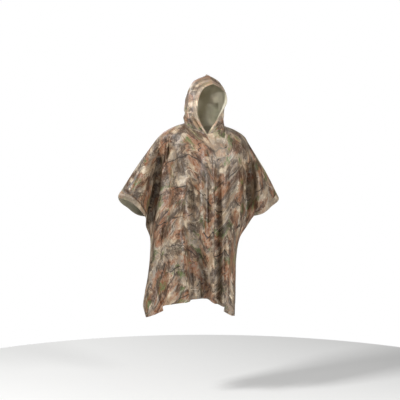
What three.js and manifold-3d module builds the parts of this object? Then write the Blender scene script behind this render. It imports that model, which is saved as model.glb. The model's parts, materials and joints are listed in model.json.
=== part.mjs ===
// A hooded rain poncho, worn and hollow: hood up, short wide sleeves held out and down, open cuffs and an
// open hem that is stepped down to a square tab at each corner, with an eyelet in every tab.
//
// Millimetres, +Z up, the front faces -Y, and +X is the wearer's left. The origin is in the middle of the
// neck, where the wearer's shoulders carry the garment. Each panel is a thin wall over a surface with two
// parameters: across runs from the wearer's right edge (-1) to the left edge (+1), and down runs from the
// shoulder line (0) to the hem (1).

import * as THREE from "three";
import Module from "manifold-3d";
import { mergeVertices } from "three/addons/utils/BufferGeometryUtils.js";

// Driving sizes
const WALL = 1.6; // thickness of the coated cloth
const SEAM_GAP = 0.3;
const HEM_FOLD = 1.4; // thickness of a turned hem, a flap or a patch that lies on a panel
const HALF_CUT = 640; // half of the cloth's width, from the middle to a cuff
const HALF_BODY = 280; // half of the width that lies on the body
const BODY_SHARE = HALF_BODY / HALF_CUT;
const HALF_NECK = 110; // half of the neckline, as it is measured across the cloth
const NECK_SHARE = HALF_NECK / HALF_CUT;
const CUFF_END = 0.28; // the cuff is open from the shoulder line to this share of the drop
const TAB_DROP = 24; // how far a corner tab hangs below the hem line
const CUFF_HEM_WIDTH = 30;
const FACE_HEM_WIDTH = 22;
const EYELET_HOLE = 4.6; // radius
const EYELET_RIM = 8.5; // radius
const EYELET_WALL = 0.7;
const EYELET_INSET = 17; // from the side edge and from the tab's lower edge
const EYELET_CLEARANCE = 0.8; // between a flange and the curved cloth, at the middle
const EYELET_SIDES = 12;
const DRILL_LENGTH = 20; // of the cutter for an eyelet's hole, well past both sides of the cloth
const RING_ROUND = 0.8; // how far a section's sides turn from a slope (0) to square with its chord (1)
const SLEEVE_PUFF = 50; // how far the lower sleeve stands out from the straight line
const CUFF_BOW = 54; // how far each edge of an open cuff stands off the line between its ends
const CUFF_LIFT = { right: { "-1": 17, 1: -38 }, left: { "-1": -24, 1: 8 } }; // by face, front -1 and back +1
const VENT_SPREAD = 62; // how far the back edge stands behind the front edge at the foot of the open side
const TAB_BOW = 8; // how much lower a tab hangs in its middle
const STIFF_CORNER = 4; // grid steps in from the side edge over which a corner with an eyelet stays flat
const CUFF_HEM_END_GAP = 2; // how far a cuff hem stays clear of the shoulder seam
const LAP_CLEARANCE = 2.4; // what lies on a piece ends this far short of the next piece that crosses it

const VENT_START = 0.86; // below this share of the drop the side seam is left open
const SLIT_END = 0.18; // the throat slit, as a share of the drop
const FLAP_END = 0.21;
const HEM_START = 0.977; // the hem band begins here
const PATCH_START = 0.92; // the patch behind a corner tab begins here
const FOLD_FADE = 0.16; // the share of the drop over which a fold begins or ends
const NECK_STEPS = 8; // grid steps from the middle of the neck to its side, shared by the panels and the hood
const NECK_STEP = HALF_NECK / NECK_STEPS;
const FLAP_FREE_EDGE = -3; // from the middle of the front
const FLAP_SEWN_EDGE = 3 * NECK_STEP;
const SLIT_WIDTH = 6;

// Shares of the drop, or of the way out to the cuff, at which a panel's forms begin, end and change
const NECK_TURN = 0.2; // the cloth turns down from the shoulder over this share of the drop, at the neck
const CUFF_TURN = 0.1; // and over this share at the cuff
const SEAM_BLEND = 0.2; // below the cuff the cloth turns in to the side seam over this share of the drop
const SEAM_LEAD = 0.06; // and begins this far above the cuff's end
const SEAM_WRAP = 0.6; // how fully it turns
const ROUND_EDGE = 0.999; // just short of 1, where the turn would stand square to the seam
const PUFF_END = CUFF_END + 0.1;
const PUFF_RISE = 0.55; // the sleeve's puff is full from this share of the way out to the cuff
const PUFF_FALL = 0.8; // it fades from here to the cuff
const PUFF_LEFT = 0.15; // and this much of it is left there
const SHOULDER_FADE = 0.35; // the shoulder line's own curve is lost at this share of the drop
const SAG_LATE = 1.25; // how far a front cuff's lowest place lies towards its lower end
const NECK_ROUND_END = 0.35; // the hood's rows are ellipses at the neck and flatter from this height on
const HOOD_ROUND = 0.62; // how round they are there, from straight (0) to an ellipse (1)
const FACE_HEM_BLEND = 0.15; // the hood's first column takes the face hem's width within this height

// Grid lines of a panel: each stretch runs to the given place in the given number of steps.
const ACROSS_LINES = [
  { to: -HALF_CUT + CUFF_HEM_WIDTH, steps: 1 },
  { to: -HALF_BODY, steps: 7 },
  { to: -HALF_NECK, steps: 11 },
  { to: -NECK_STEP, steps: NECK_STEPS - 1 },
  { to: FLAP_FREE_EDGE, steps: 1 },
  { to: 0, steps: 1 },
  { to: SLIT_WIDTH, steps: 1 },
  { to: NECK_STEP, steps: 1 },
  { to: HALF_NECK, steps: NECK_STEPS - 1 },
  { to: HALF_BODY, steps: 11 },
  { to: HALF_CUT - CUFF_HEM_WIDTH, steps: 7 },
  { to: HALF_CUT, steps: 1 },
];
const DOWN_LINES = [
  { to: 0.06, steps: 3 },
  { to: SLIT_END, steps: 4 },
  { to: FLAP_END, steps: 1 },
  { to: CUFF_END, steps: 2 },
  { to: VENT_START, steps: 8 },
  { to: PATCH_START, steps: 1 },
  { to: HEM_START, steps: 1 },
  { to: 1, steps: 1 },
];
const HOOD_AROUND = 2 * NECK_STEPS;
const HOOD_UP = 14;

// The shoulder line, from the side of the neck over the arm to the top of the cuff. along is measured on
// the cloth.
const RIGHT_SHOULDER = [
  { along: 110, x: -113, y: -12, z: 25 },
  { along: 170, x: -171, y: -25, z: 5 },
  { along: 235, x: -229, y: -40, z: -27 },
  { along: 280, x: -258, y: -48, z: -57 },
  { along: 350, x: -298, y: -60, z: -112 },
  { along: 500, x: -383, y: -82, z: -235 },
  { along: 640, x: -467, y: -105, z: -372 },
];
const LEFT_SHOULDER = [
  { along: 110, x: 108, y: 15, z: 12 },
  { along: 170, x: 166, y: 30, z: -9 },
  { along: 235, x: 219, y: 45, z: -43 },
  { along: 280, x: 243, y: 56, z: -81 },
  { along: 350, x: 280, y: 78, z: -138 },
  { along: 500, x: 350, y: 115, z: -248 },
  { along: 640, x: 420, y: 150, z: -381 },
];

// The body's sections. At each one the cloth of a panel springs from a right and a left side line and bulges
// out between them. skew slides the cloth towards the wearer's left.
const FRONT_SECTIONS = [
  { down: 0, rightX: -258, rightY: -48, leftX: 243, leftY: 56, bulge: 114, skew: 0 },
  { down: 0.07, rightX: -254, rightY: -74, leftX: 246, leftY: 26, bulge: 100, skew: 0.08 },
  { down: 0.17, rightX: -256, rightY: -34, leftX: 254, leftY: 46, bulge: 138, skew: 0.12 },
  { down: 0.32, rightX: -264, rightY: 2, leftX: 252, leftY: 74, bulge: 173, skew: 0.14 },
  { down: 0.46, rightX: -284, rightY: 6, leftX: 226, leftY: 72, bulge: 181, skew: 0.15 },
  { down: 0.6, rightX: -280, rightY: -40, leftX: 184, leftY: 20, bulge: 140, skew: 0.18 },
  { down: 0.78, rightX: -268, rightY: -80, leftX: 148, leftY: -20, bulge: 98, skew: 0.24 },
  { down: 1, rightX: -228, rightY: -112, leftX: 104, leftY: -62, bulge: 55, skew: 0.35 },
];
const BACK_SECTIONS = [
  { down: 0, rightX: -258, rightY: -48, leftX: 243, leftY: 56, bulge: 104, skew: 0 },
  { down: 0.07, rightX: -256, rightY: -10, leftX: 240, leftY: 92, bulge: 86, skew: 0 },
  { down: 0.17, rightX: -262, rightY: 26, leftX: 248, leftY: 118, bulge: 70, skew: 0 },
  { down: 0.32, rightX: -268, rightY: 44, leftX: 246, leftY: 136, bulge: 64, skew: 0 },
  { down: 0.46, rightX: -286, rightY: 46, leftX: 222, leftY: 138, bulge: 68, skew: 0 },
  { down: 0.6, rightX: -284, rightY: 62, leftX: 178, leftY: 146, bulge: 66, skew: 0 },
  { down: 0.78, rightX: -276, rightY: 88, leftX: 134, leftY: 158, bulge: 56, skew: 0 },
  { down: 1, rightX: -262, rightY: 104, leftX: 100, leftY: 170, bulge: 46, skew: 0 },
];

// The side edges: the cuff down to CUFF_END, and below it the side seam down to the tab's corner.
const RIGHT_EDGE = [
  { down: 0, x: -467, y: -105, z: -372 },
  { down: 0.28, x: -330, y: 2, z: -486 },
  { down: 0.36, x: -326, y: 18, z: -541 },
  { down: 0.45, x: -304, y: 26, z: -606 },
  { down: 0.6, x: -303, y: 12, z: -716 },
  { down: 0.75, x: -314, y: 0, z: -822 },
  { down: 0.88, x: -332, y: -18, z: -922 },
  { down: 0.95, x: -338, y: -36, z: -974 },
  { down: 1, x: -328, y: -50, z: -1012 },
];
const LEFT_EDGE = [
  { down: 0, x: 420, y: 150, z: -381 },
  { down: 0.28, x: 279, y: 118, z: -484 },
  { down: 0.36, x: 240, y: 108, z: -539 },
  { down: 0.45, x: 196, y: 96, z: -609 },
  { down: 0.6, x: 176, y: 84, z: -722 },
  { down: 0.75, x: 172, y: 76, z: -831 },
  { down: 0.88, x: 170, y: 66, z: -925 },
  { down: 1, x: 167, y: 60, z: -1017 },
];

// The height of the hem line between the tabs, by the share of the body's width.
const FRONT_HEM = [
  { across: -1, z: -968 },
  { across: -0.6, z: -948 },
  { across: -0.45, z: -941 },
  { across: -0.3, z: -938 },
  { across: 0, z: -931 },
  { across: 0.19, z: -948 },
  { across: 0.4, z: -961 },
  { across: 0.65, z: -971 },
  { across: 1, z: -975 },
];
const BACK_HEM = [
  { across: -1, z: -966 },
  { across: -0.5, z: -944 },
  { across: 0, z: -930 },
  { across: 0.5, z: -934 },
  { across: 1, z: -954 },
];

// Each fold is a trough (depth below 0) or a ridge (depth above 0) that runs down a panel, from a share of
// the drop to another. x is its middle as seen from the front, at its top, half way and at the hem. floor is
// half the width of its flat, and rise the width of each of its walls.
const FRONT_FOLDS = [
  { name: "deep hem recess", from: 0.28, to: 1.3, xTop: -72, xMid: -76, xHem: -16,
    floorTop: 0, floorHem: 30, riseTop: 46, riseHem: 40, depthTop: -18, depthHem: -84 },
  { name: "front crest", from: 0.16, to: 1.3, xTop: 42, xMid: 42, xHem: 44,
    floorTop: 0, floorHem: 0, riseTop: 30, riseHem: 24, depthTop: 12, depthHem: 14 },
  { name: "trough beside the crest", from: 0.2, to: 1.3, xTop: 70, xMid: 72, xHem: 72,
    floorTop: 0, floorHem: 0, riseTop: 30, riseHem: 24, depthTop: -12, depthHem: -30 },
  { name: "left breast ridge", from: 0.08, to: 1.3, xTop: 140, xMid: 126, xHem: 100,
    floorTop: 8, floorHem: 0, riseTop: 46, riseHem: 30, depthTop: 10, depthHem: 14 },
  { name: "left side trough", from: 0.4, to: 1.3, xTop: 190, xMid: 160, xHem: 134,
    floorTop: 0, floorHem: 0, riseTop: 34, riseHem: 26, depthTop: -8, depthHem: -16 },
  { name: "right breast ridge", from: 0.08, to: 1.3, xTop: -132, xMid: -150, xHem: -118,
    floorTop: 0, floorHem: 0, riseTop: 40, riseHem: 44, depthTop: 13, depthHem: 10 },
  { name: "right side trough", from: 0.12, to: 1.3, xTop: -192, xMid: -228, xHem: -214,
    floorTop: 0, floorHem: 0, riseTop: 34, riseHem: 32, depthTop: -14, depthHem: -12 },
  { name: "middle trough", from: 0.14, to: 0.72, xTop: 6, xMid: 6, xHem: 8,
    floorTop: 0, floorHem: 0, riseTop: 34, riseHem: 34, depthTop: -9, depthHem: -8 },
  { name: "middle ridge", from: 0.3, to: 0.82, xTop: -28, xMid: -18, xHem: -6,
    floorTop: 0, floorHem: 0, riseTop: 34, riseHem: 32, depthTop: 9, depthHem: 8 },
  { name: "shoulder trough", from: 0.01, to: 0.3, xTop: -168, xMid: -196, xHem: -210,
    floorTop: 0, floorHem: 0, riseTop: 32, riseHem: 30, depthTop: -10, depthHem: -8 },
];
const BACK_FOLDS = [
  { name: "right blade trough", from: 0.1, to: 1.3, xTop: -170, xMid: -178, xHem: -176,
    floorTop: 0, floorHem: 6, riseTop: 50, riseHem: 44, depthTop: -16, depthHem: -44 },
  { name: "spine ridge", from: 0.16, to: 1.3, xTop: -96, xMid: -100, xHem: -104,
    floorTop: 0, floorHem: 0, riseTop: 40, riseHem: 34, depthTop: 8, depthHem: 14 },
  { name: "spine trough", from: 0.22, to: 1.3, xTop: -30, xMid: -34, xHem: -40,
    floorTop: 0, floorHem: 8, riseTop: 44, riseHem: 42, depthTop: -12, depthHem: -46 },
  { name: "left blade ridge", from: 0.2, to: 1.3, xTop: 40, xMid: 30, xHem: 24,
    floorTop: 0, floorHem: 0, riseTop: 36, riseHem: 32, depthTop: 8, depthHem: 12 },
  { name: "left blade trough", from: 0.12, to: 1.3, xTop: 122, xMid: 100, xHem: 82,
    floorTop: 0, floorHem: 4, riseTop: 46, riseHem: 38, depthTop: -15, depthHem: -38 },
  { name: "left side ridge", from: 0.34, to: 1.3, xTop: 180, xMid: 142, xHem: 124,
    floorTop: 0, floorHem: 0, riseTop: 30, riseHem: 26, depthTop: 6, depthHem: 12 },
];

// The hood's rows, from the neck seam up. Each runs from the edge of the face opening over the side of the
// head to the seam in the middle of the back. The last row lies on the seam over the forehead.
const HOOD_RIGHT = [
  { up: 0, rimX: 12, rimY: -100, rimZ: -42, sideX: -113, sideY: -12, sideZ: 25 },
  { up: 0.2, rimX: -22, rimY: -112, rimZ: 15, sideX: -114, sideY: -15, sideZ: 75 },
  { up: 0.4, rimX: -41, rimY: -120, rimZ: 72, sideX: -112, sideY: -20, sideZ: 125 },
  { up: 0.6, rimX: -38, rimY: -123, rimZ: 130, sideX: -102, sideY: -25, sideZ: 180 },
  { up: 0.8, rimX: -22, rimY: -121, rimZ: 180, sideX: -76, sideY: -36, sideZ: 236 },
  { up: 0.9, rimX: 0, rimY: -118, rimZ: 207, sideX: -46, sideY: -45, sideZ: 260 },
  { up: 1, rimX: 43, rimY: -112, rimZ: 227, sideX: 26, sideY: -56, sideZ: 276 },
];
const HOOD_LEFT = [
  { up: 0, rimX: 12, rimY: -100, rimZ: -42, sideX: 107, sideY: 15, sideZ: 11 },
  { up: 0.2, rimX: 52, rimY: -88, rimZ: 20, sideX: 103, sideY: 8, sideZ: 62 },
  { up: 0.4, rimX: 86, rimY: -76, rimZ: 72, sideX: 101, sideY: 2, sideZ: 115 },
  { up: 0.6, rimX: 117, rimY: -64, rimZ: 132, sideX: 103, sideY: -6, sideZ: 175 },
  { up: 0.8, rimX: 112, rimY: -70, rimZ: 180, sideX: 90, sideY: -22, sideZ: 232 },
  { up: 0.9, rimX: 84, rimY: -88, rimZ: 207, sideX: 66, sideY: -36, sideZ: 258 },
  { up: 1, rimX: 43, rimY: -112, rimZ: 227, sideX: 26, sideY: -56, sideZ: 276 },
];
const HOOD_SEAM = [
  { up: 0, x: -25, y: 92, z: 20 },
  { up: 0.2, x: -38, y: 112, z: 75 },
  { up: 0.4, x: -42, y: 120, z: 135 },
  { up: 0.6, x: -36, y: 105, z: 200 },
  { up: 0.8, x: -18, y: 65, z: 258 },
  { up: 0.9, x: -6, y: 35, z: 282 },
  { up: 1, x: 6, y: 0, z: 295 },
];

const { Manifold, Mesh } = await loadSolids();

async function loadSolids() {
  const wasm = await Module();
  wasm.setup();
  return wasm;
}

const mix = (a, b, share) => a + (b - a) * share;
const clamp = (value, low, high) => Math.min(high, Math.max(low, value));

function smooth(value) {
  const x = clamp(value, 0, 1);
  return x * x * (3 - 2 * x);
}

// A smooth curve through one column of a table, read at a value of its key column.
function curve(table, key, column, at) {
  const last = table.length - 1;
  const x = clamp(at, table[0][key], table[last][key]);
  let i = 0;
  while (i < last - 1 && x > table[i + 1][key]) i += 1;
  const slope = (k) => {
    const before = table[Math.max(k - 1, 0)];
    const after = table[Math.min(k + 1, last)];
    return (after[column] - before[column]) / (after[key] - before[key]);
  };
  const step = table[i + 1][key] - table[i][key];
  const u = (x - table[i][key]) / step;
  const start = table[i][column];
  const end = table[i + 1][column];
  return (
    start * (1 + 2 * u) * (1 - u) ** 2 +
    end * u * u * (3 - 2 * u) +
    step * (slope(i) * u * (1 - u) ** 2 - slope(i + 1) * u * u * (1 - u))
  );
}

const pointOn = (table, key, at) => ["x", "y", "z"].map((axis) => curve(table, key, axis, at));

// One row of the hood: a quarter turn from the face opening to the side, and another from the side to the
// back seam. Each is an ellipse at the neck, and between a straight line and an ellipse at the top.
function hoodPoint(side, up, around) {
  const table = side < 0 ? HOOD_RIGHT : HOOD_LEFT;
  const rim = ["rimX", "rimY", "rimZ"].map((column) => curve(table, "up", column, up));
  const flank = ["sideX", "sideY", "sideZ"].map((column) => curve(table, "up", column, up));
  const seam = pointOn(HOOD_SEAM, "up", up);
  const round = mix(1, HOOD_ROUND, smooth(up / NECK_ROUND_END));
  if (around < 0.5) {
    const share = around / 0.5;
    const turn = (share * Math.PI) / 2;
    const out = mix(share, Math.sin(turn), round);
    const back = mix(share, 1 - Math.cos(turn), round);
    const rise = mix(share, smooth(share), 0.5);
    return [mix(rim[0], flank[0], out), mix(rim[1], flank[1], back), mix(rim[2], flank[2], rise)];
  }
  const share = (around - 0.5) / 0.5;
  const turn = (share * Math.PI) / 2;
  const inward = mix(share, 1 - Math.cos(turn), round);
  const back = mix(share, Math.sin(turn), round);
  return [mix(flank[0], seam[0], inward), mix(flank[1], seam[1], back), mix(flank[2], seam[2], back)];
}

// The panel's top edge: the shoulder line over the arm, or the neckline, which the hood's first row gives.
function topEdge(face, across) {
  const side = across < 0 ? -1 : 1;
  const width = Math.abs(across);
  if (width >= NECK_SHARE) {
    return pointOn(side < 0 ? RIGHT_SHOULDER : LEFT_SHOULDER, "along", width * HALF_CUT);
  }
  const fromMiddle = (width / NECK_SHARE) * 0.5;
  return hoodPoint(side, 0, face < 0 ? fromMiddle : 1 - fromMiddle);
}

// How far the folds move the cloth out, at a place that is seen from the front at x.
function foldDepth(folds, x, down) {
  let depth = 0;
  for (const fold of folds) {
    const share = clamp((down - fold.from) / (1 - fold.from), 0, 1);
    const fadeIn = smooth((down - fold.from) / FOLD_FADE);
    const fadeOut = 1 - smooth((down - fold.to + FOLD_FADE) / FOLD_FADE);
    const middle = mix(mix(fold.xTop, fold.xMid, share), mix(fold.xMid, fold.xHem, share), share);
    const floor = mix(fold.floorTop, fold.floorHem, share);
    const rise = mix(fold.riseTop, fold.riseHem, share);
    const reach = 1 - smooth((Math.abs(x - middle) - floor) / rise);
    depth += mix(fold.depthTop, fold.depthHem, share) * reach * fadeIn * fadeOut;
  }
  return depth;
}

// The share of the drop from the shoulder line, which starts level and turns down over the given share.
function drop(down, over) {
  const level = (2 * over) / Math.PI;
  const total = level + 1 - over;
  if (down >= over) return (level + down - over) / total;
  return (level * (1 - Math.cos((Math.PI * down) / (2 * over)))) / total;
}

// A point of a panel. face is -1 for the front and +1 for the back.
function panelPoint(face, across, down) {
  const sections = face < 0 ? FRONT_SECTIONS : BACK_SECTIONS;
  const folds = face < 0 ? FRONT_FOLDS : BACK_FOLDS;
  const hem = face < 0 ? FRONT_HEM : BACK_HEM;
  const side = across < 0 ? -1 : 1;
  const shoulderLine = side < 0 ? RIGHT_SHOULDER : LEFT_SHOULDER;
  const beyond = clamp((Math.abs(across) - BODY_SHARE) / (1 - BODY_SHARE), 0, 1);
  const share = clamp(across / BODY_SHARE, -1, 1);
  const top = topEdge(face, across);
  const section = (column) => curve(sections, "down", column, down);

  const right = [section("rightX"), section("rightY")];
  const left = [section("leftX"), section("leftY")];
  const turn = (Math.PI / 2) * (share + section("skew") * (1 - share * share));
  const chord = (1 + mix(share, Math.sin(turn), RING_ROUND)) / 2;
  const length = Math.hypot(left[0] - right[0], left[1] - right[1]);
  const outward = [(face * (right[1] - left[1])) / length, (face * (left[0] - right[0])) / length];
  const round = section("bulge") * Math.cos(turn);
  const seenX = mix(right[0], left[0], chord) + outward[0] * round;
  const out = round + foldDepth(folds, seenX, down) * (1 - beyond);
  const body = [
    mix(right[0], left[0], chord) + outward[0] * out,
    mix(right[1], left[1], chord) + outward[1] * out,
  ];
  const over = mix(NECK_TURN, CUFF_TURN, smooth((Math.abs(across) - NECK_SHARE) / (1 - NECK_SHARE)));
  const bodyTop = beyond > 0 ? topEdge(face, side * BODY_SHARE) : top;
  let z = mix(bodyTop[2], curve(hem, "across", "z", share), drop(down, over));
  let [x, y] = body;

  if (beyond > 0) {
    const edge = edgePoint(face, side, down);
    const seamShare = smooth((down - CUFF_END + SEAM_LEAD) / SEAM_BLEND);
    const outX = mix(beyond, Math.sin((Math.PI / 2) * beyond), seamShare);
    const outY = mix(beyond, 1 - Math.sqrt(1 - ROUND_EDGE * beyond * beyond), SEAM_WRAP * seamShare);
    const atCuff = mix(1, PUFF_LEFT, smooth((beyond - PUFF_FALL) / (1 - PUFF_FALL)));
    const puff = Math.sin(Math.PI * clamp(down / PUFF_END, 0, 1)) * smooth(beyond / PUFF_RISE) * atCuff;
    const shoulder = pointOn(shoulderLine, "along", mix(HALF_BODY, HALF_CUT, beyond));
    const shoulderEnd = edgePoint(face, side, 0);
    const fade = 1 - smooth(down / SHOULDER_FADE);
    x = mix(body[0], edge[0], outX) + (shoulder[0] - mix(bodyTop[0], shoulderEnd[0], beyond)) * fade;
    y = mix(body[1], edge[1], outY) + face * SLEEVE_PUFF * puff;
    z = mix(z, edge[2], beyond) + (shoulder[2] - mix(bodyTop[2], shoulderEnd[2], beyond)) * fade;
  }
  const ease = clamp(down / over, 0, 1);
  return [
    mix(top[0], x, smooth(ease)),
    mix(top[1], y, Math.sin((Math.PI / 2) * ease)),
    z,
  ];
}

// A point of a panel's side edge. The open cuff bows away from the straight line between its ends.
function edgePoint(face, side, down) {
  const point = pointOn(side < 0 ? RIGHT_EDGE : LEFT_EDGE, "down", down);
  const cuffShare = clamp(down / CUFF_END, 0, 1);
  const bow = Math.sin(Math.PI * cuffShare);
  const sag = Math.sin(Math.PI * cuffShare ** (face < 0 ? SAG_LATE : 1));
  const vent = smooth((down - VENT_START) / (1 - VENT_START));
  const lift = side < 0 ? CUFF_LIFT.right[face] : CUFF_LIFT.left[face];
  return [
    point[0],
    point[1] + face * CUFF_BOW * bow + (face > 0 ? VENT_SPREAD * vent : 0),
    point[2] + lift * sag,
  ];
}

// The places of the grid lines that a table of stretches gives, from start on.
function gridLines(start, stretches) {
  const places = [start];
  for (const stretch of stretches) {
    const from = places[places.length - 1];
    for (let step = 1; step <= stretch.steps; step += 1) {
      places.push(mix(from, stretch.to, step / stretch.steps));
    }
  }
  return places;
}

function nearest(places, place) {
  const away = places.map((value) => Math.abs(value - place));
  return away.indexOf(Math.min(...away));
}

const subtract = (a, b) => [a[0] - b[0], a[1] - b[1], a[2] - b[2]];
const moved = (point, direction, distance) => point.map((value, k) => value + direction[k] * distance);
const dot = (a, b) => a[0] * b[0] + a[1] * b[1] + a[2] * b[2];

function cross(a, b) {
  return [a[1] * b[2] - a[2] * b[1], a[2] * b[0] - a[0] * b[2], a[0] * b[1] - a[1] * b[0]];
}

function unit(vector) {
  const length = Math.hypot(...vector) || 1;
  return vector.map((value) => value / length);
}

// The place past a seam, as far from the edge point as the place before it, so that both pieces are mitred
// alike.
function mirrored(past, point, before) {
  return past ? moved(point, unit(subtract(past, point)), Math.hypot(...subtract(before, point))) : point;
}

// A surface is a grid of points with an outward normal at each. facing says which way the grid's own turn
// points. pastColumn and pastRow give the point past an edge, where another piece goes on over a seam.
function surfaceOf(grid, facing, pastColumn = () => null, pastRow = () => null) {
  const columns = grid.length;
  const rows = grid[0].length;
  const exact = grid.map((column, i) =>
    column.map((point, j) => {
      const left = i > 0 ? grid[i - 1][j] : mirrored(pastColumn(i, j), point, grid[1][j]);
      const right = i < columns - 1 ? grid[i + 1][j] : mirrored(pastColumn(i, j), point, grid[i - 1][j]);
      const above = j > 0 ? column[j - 1] : mirrored(pastRow(i, j), point, column[1]);
      const below = j < rows - 1 ? column[j + 1] : mirrored(pastRow(i, j), point, column[j - 1]);
      return unit(cross(subtract(right, left), subtract(below, above))).map((value) => value * facing);
    }),
  );
  // Away from the seams each normal is eased towards its neighbours', so that the wall turns a sharp fold.
  const normals = exact.map((exactColumn, i) =>
    exactColumn.map((normal, j) => {
      const onSide = i === 0 || i === columns - 1;
      const onEnd = j === 0 || j === rows - 1;
      const onSeam = (onSide && pastColumn(i, j)) || (onEnd && pastRow(i, j));
      if (onSeam || (onSide && onEnd)) return normal;
      const around = [exact[i - 1]?.[j], exact[i + 1]?.[j], exact[i][j - 1], exact[i][j + 1]].filter(Boolean);
      return unit(around.reduce((sum, other) => moved(sum, other, 1), moved(normal, normal, 1)));
    }),
  );
  const points = grid.map((column, i) =>
    column.map((point, j) => {
      let place = point;
      const sideSeam = (i === 0 || i === columns - 1) && pastColumn(i, j);
      const endSeam = (j === 0 || j === rows - 1) && pastRow(i, j);
      const beside = grid[i === 0 ? 1 : i - 1][j];
      const along = column[j === 0 ? 1 : j - 1];
      if (sideSeam) place = moved(place, unit(subtract(beside, point)), SEAM_GAP / 2);
      if (endSeam) place = moved(place, unit(subtract(along, point)), SEAM_GAP / 2);
      return place;
    }),
  );
  return { points, normals, facing };
}

// Part of a surface, between two columns and two rows. Its edges can be drawn in, by a distance along the
// cloth.
function stretchOf(surface, from, to, top, bottom, drawnIn = {}) {
  const points = surface.points.slice(from, to + 1).map((column) => column.slice(top, bottom + 1));
  const normals = surface.normals.slice(from, to + 1).map((column) => column.slice(top, bottom + 1));
  const lastColumnIn = points.length - 1;
  const lastRowIn = points[0].length - 1;
  const draw = (i, j, towardsI, towardsJ, distance) => {
    points[i][j] = moved(points[i][j], unit(subtract(points[towardsI][towardsJ], points[i][j])), distance);
  };
  for (let j = 0; j <= lastRowIn; j += 1) {
    draw(0, j, 1, j, drawnIn.sides ?? 0);
    draw(lastColumnIn, j, lastColumnIn - 1, j, drawnIn.sides ?? 0);
  }
  for (let i = 0; i <= lastColumnIn; i += 1) draw(i, 0, i, 1, drawnIn.top ?? 0);
  return { points, normals, facing: surface.facing };
}

// A closed wall on a surface, between two distances along its normals. keep says which cells of the grid
// are cloth.
function wall(surface, outer, inner, keep = () => true) {
  const { points, normals, facing } = surface;
  const columns = points.length;
  const rows = points[0].length;
  const positions = [];
  for (const lift of [outer, inner]) {
    points.forEach((column, i) => {
      column.forEach((point, j) => positions.push(...moved(point, normals[i][j], lift)));
    });
  }
  const at = (i, j, layer) => layer * columns * rows + i * rows + j;
  const faces = [];
  const triangle = (a, b, c) => faces.push(...(facing < 0 ? [a, c, b] : [a, b, c]));
  const quad = (a, b, c, d) => {
    triangle(a, b, c);
    triangle(a, c, d);
  };
  const present = (i, j) => i >= 0 && j >= 0 && i < columns - 1 && j < rows - 1 && keep(i, j);
  const rim = (a, b) => quad(at(...b, 0), at(...a, 0), at(...a, 1), at(...b, 1));
  for (let i = 0; i < columns - 1; i += 1) {
    for (let j = 0; j < rows - 1; j += 1) {
      if (!present(i, j)) continue;
      quad(at(i, j, 0), at(i + 1, j, 0), at(i + 1, j + 1, 0), at(i, j + 1, 0));
      quad(at(i, j, 1), at(i, j + 1, 1), at(i + 1, j + 1, 1), at(i + 1, j, 1));
      if (!present(i, j - 1)) rim([i, j], [i + 1, j]);
      if (!present(i + 1, j)) rim([i + 1, j], [i + 1, j + 1]);
      if (!present(i, j + 1)) rim([i + 1, j + 1], [i, j + 1]);
      if (!present(i - 1, j)) rim([i, j + 1], [i, j]);
    }
  }
  const geometry = new THREE.BufferGeometry();
  geometry.setAttribute("position", new THREE.Float32BufferAttribute(positions, 3));
  geometry.setIndex(faces);
  return mergeVertices(geometry, 1e-4);
}

function solidOf(geometry) {
  const bare = geometry.clone();
  bare.deleteAttribute("normal");
  bare.deleteAttribute("uv");
  const merged = mergeVertices(bare, 1e-4);
  return new Manifold(
    new Mesh({
      numProp: 3,
      vertProperties: Float32Array.from(merged.attributes.position.array),
      triVerts: Uint32Array.from(merged.index.array),
    }),
  );
}

function geometryOf(solid) {
  const mesh = solid.getMesh();
  const geometry = new THREE.BufferGeometry();
  geometry.setAttribute("position", new THREE.Float32BufferAttribute(mesh.vertProperties, 3));
  geometry.setIndex(Array.from(mesh.triVerts));
  return geometry;
}

const across = gridLines(-HALF_CUT, ACROSS_LINES);
const down = gridLines(0, DOWN_LINES);
const lastColumn = across.length - 1;
const hemRow = down.length - 1;
const bodyStart = nearest(across, -HALF_BODY);
const bodyEnd = nearest(across, HALF_BODY);
const cuffRow = nearest(down, CUFF_END);
const ventRow = nearest(down, VENT_START);

// The points of one panel, with a last row that only the tabs use.
function panelGrid(face) {
  const columns = across.map((place) => {
    const column = down.map((share) => panelPoint(face, place / HALF_CUT, share));
    const last = column[hemRow];
    const onTab = (Math.abs(place) - HALF_BODY) / (HALF_CUT - HALF_BODY);
    const tabDrop = TAB_DROP + TAB_BOW * Math.sin(Math.PI * clamp(onTab, 0, 1));
    column.push(moved(last, unit(subtract(last, column[hemRow - 1])), tabDrop));
    return column;
  });
  flatten(columns, 0, STIFF_CORNER);
  flatten(columns, lastColumn, lastColumn - STIFF_CORNER);
  return columns;
}

// Lays a tab's corner, between a side edge and another column, on one plane. Its rows are straight there.
function flatten(columns, edge, inner) {
  const step = Math.sign(inner - edge);
  const corner = columns[edge][hemRow + 1];
  const alongHem = subtract(columns[inner][hemRow + 1], corner);
  const facing = unit(cross(alongHem, subtract(columns[edge][hemRow - 1], corner)));
  for (let j = hemRow - 1; j <= hemRow + 1; j += 1) {
    columns[inner][j] = moved(columns[inner][j], facing, -dot(subtract(columns[inner][j], corner), facing));
    columns[edge][j] = moved(columns[edge][j], facing, -dot(subtract(columns[edge][j], corner), facing));
    for (let i = edge + step; i !== inner; i += step) {
      const share = (across[i] - across[edge]) / (across[inner] - across[edge]);
      columns[i][j] = columns[edge][j].map((value, k) => mix(value, columns[inner][j][k], share));
    }
  }
}

function panelSurface(face, grid, otherGrid) {
  const pastColumn = (i, j) => (j >= cuffRow && j <= ventRow ? otherGrid[i === 0 ? 1 : i - 1][j] : null);
  const pastRow = (i, j) => (j === 0 && Math.abs(across[i]) >= HALF_NECK ? otherGrid[i][1] : null);
  return surfaceOf(grid, face, pastColumn, pastRow);
}

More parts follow.
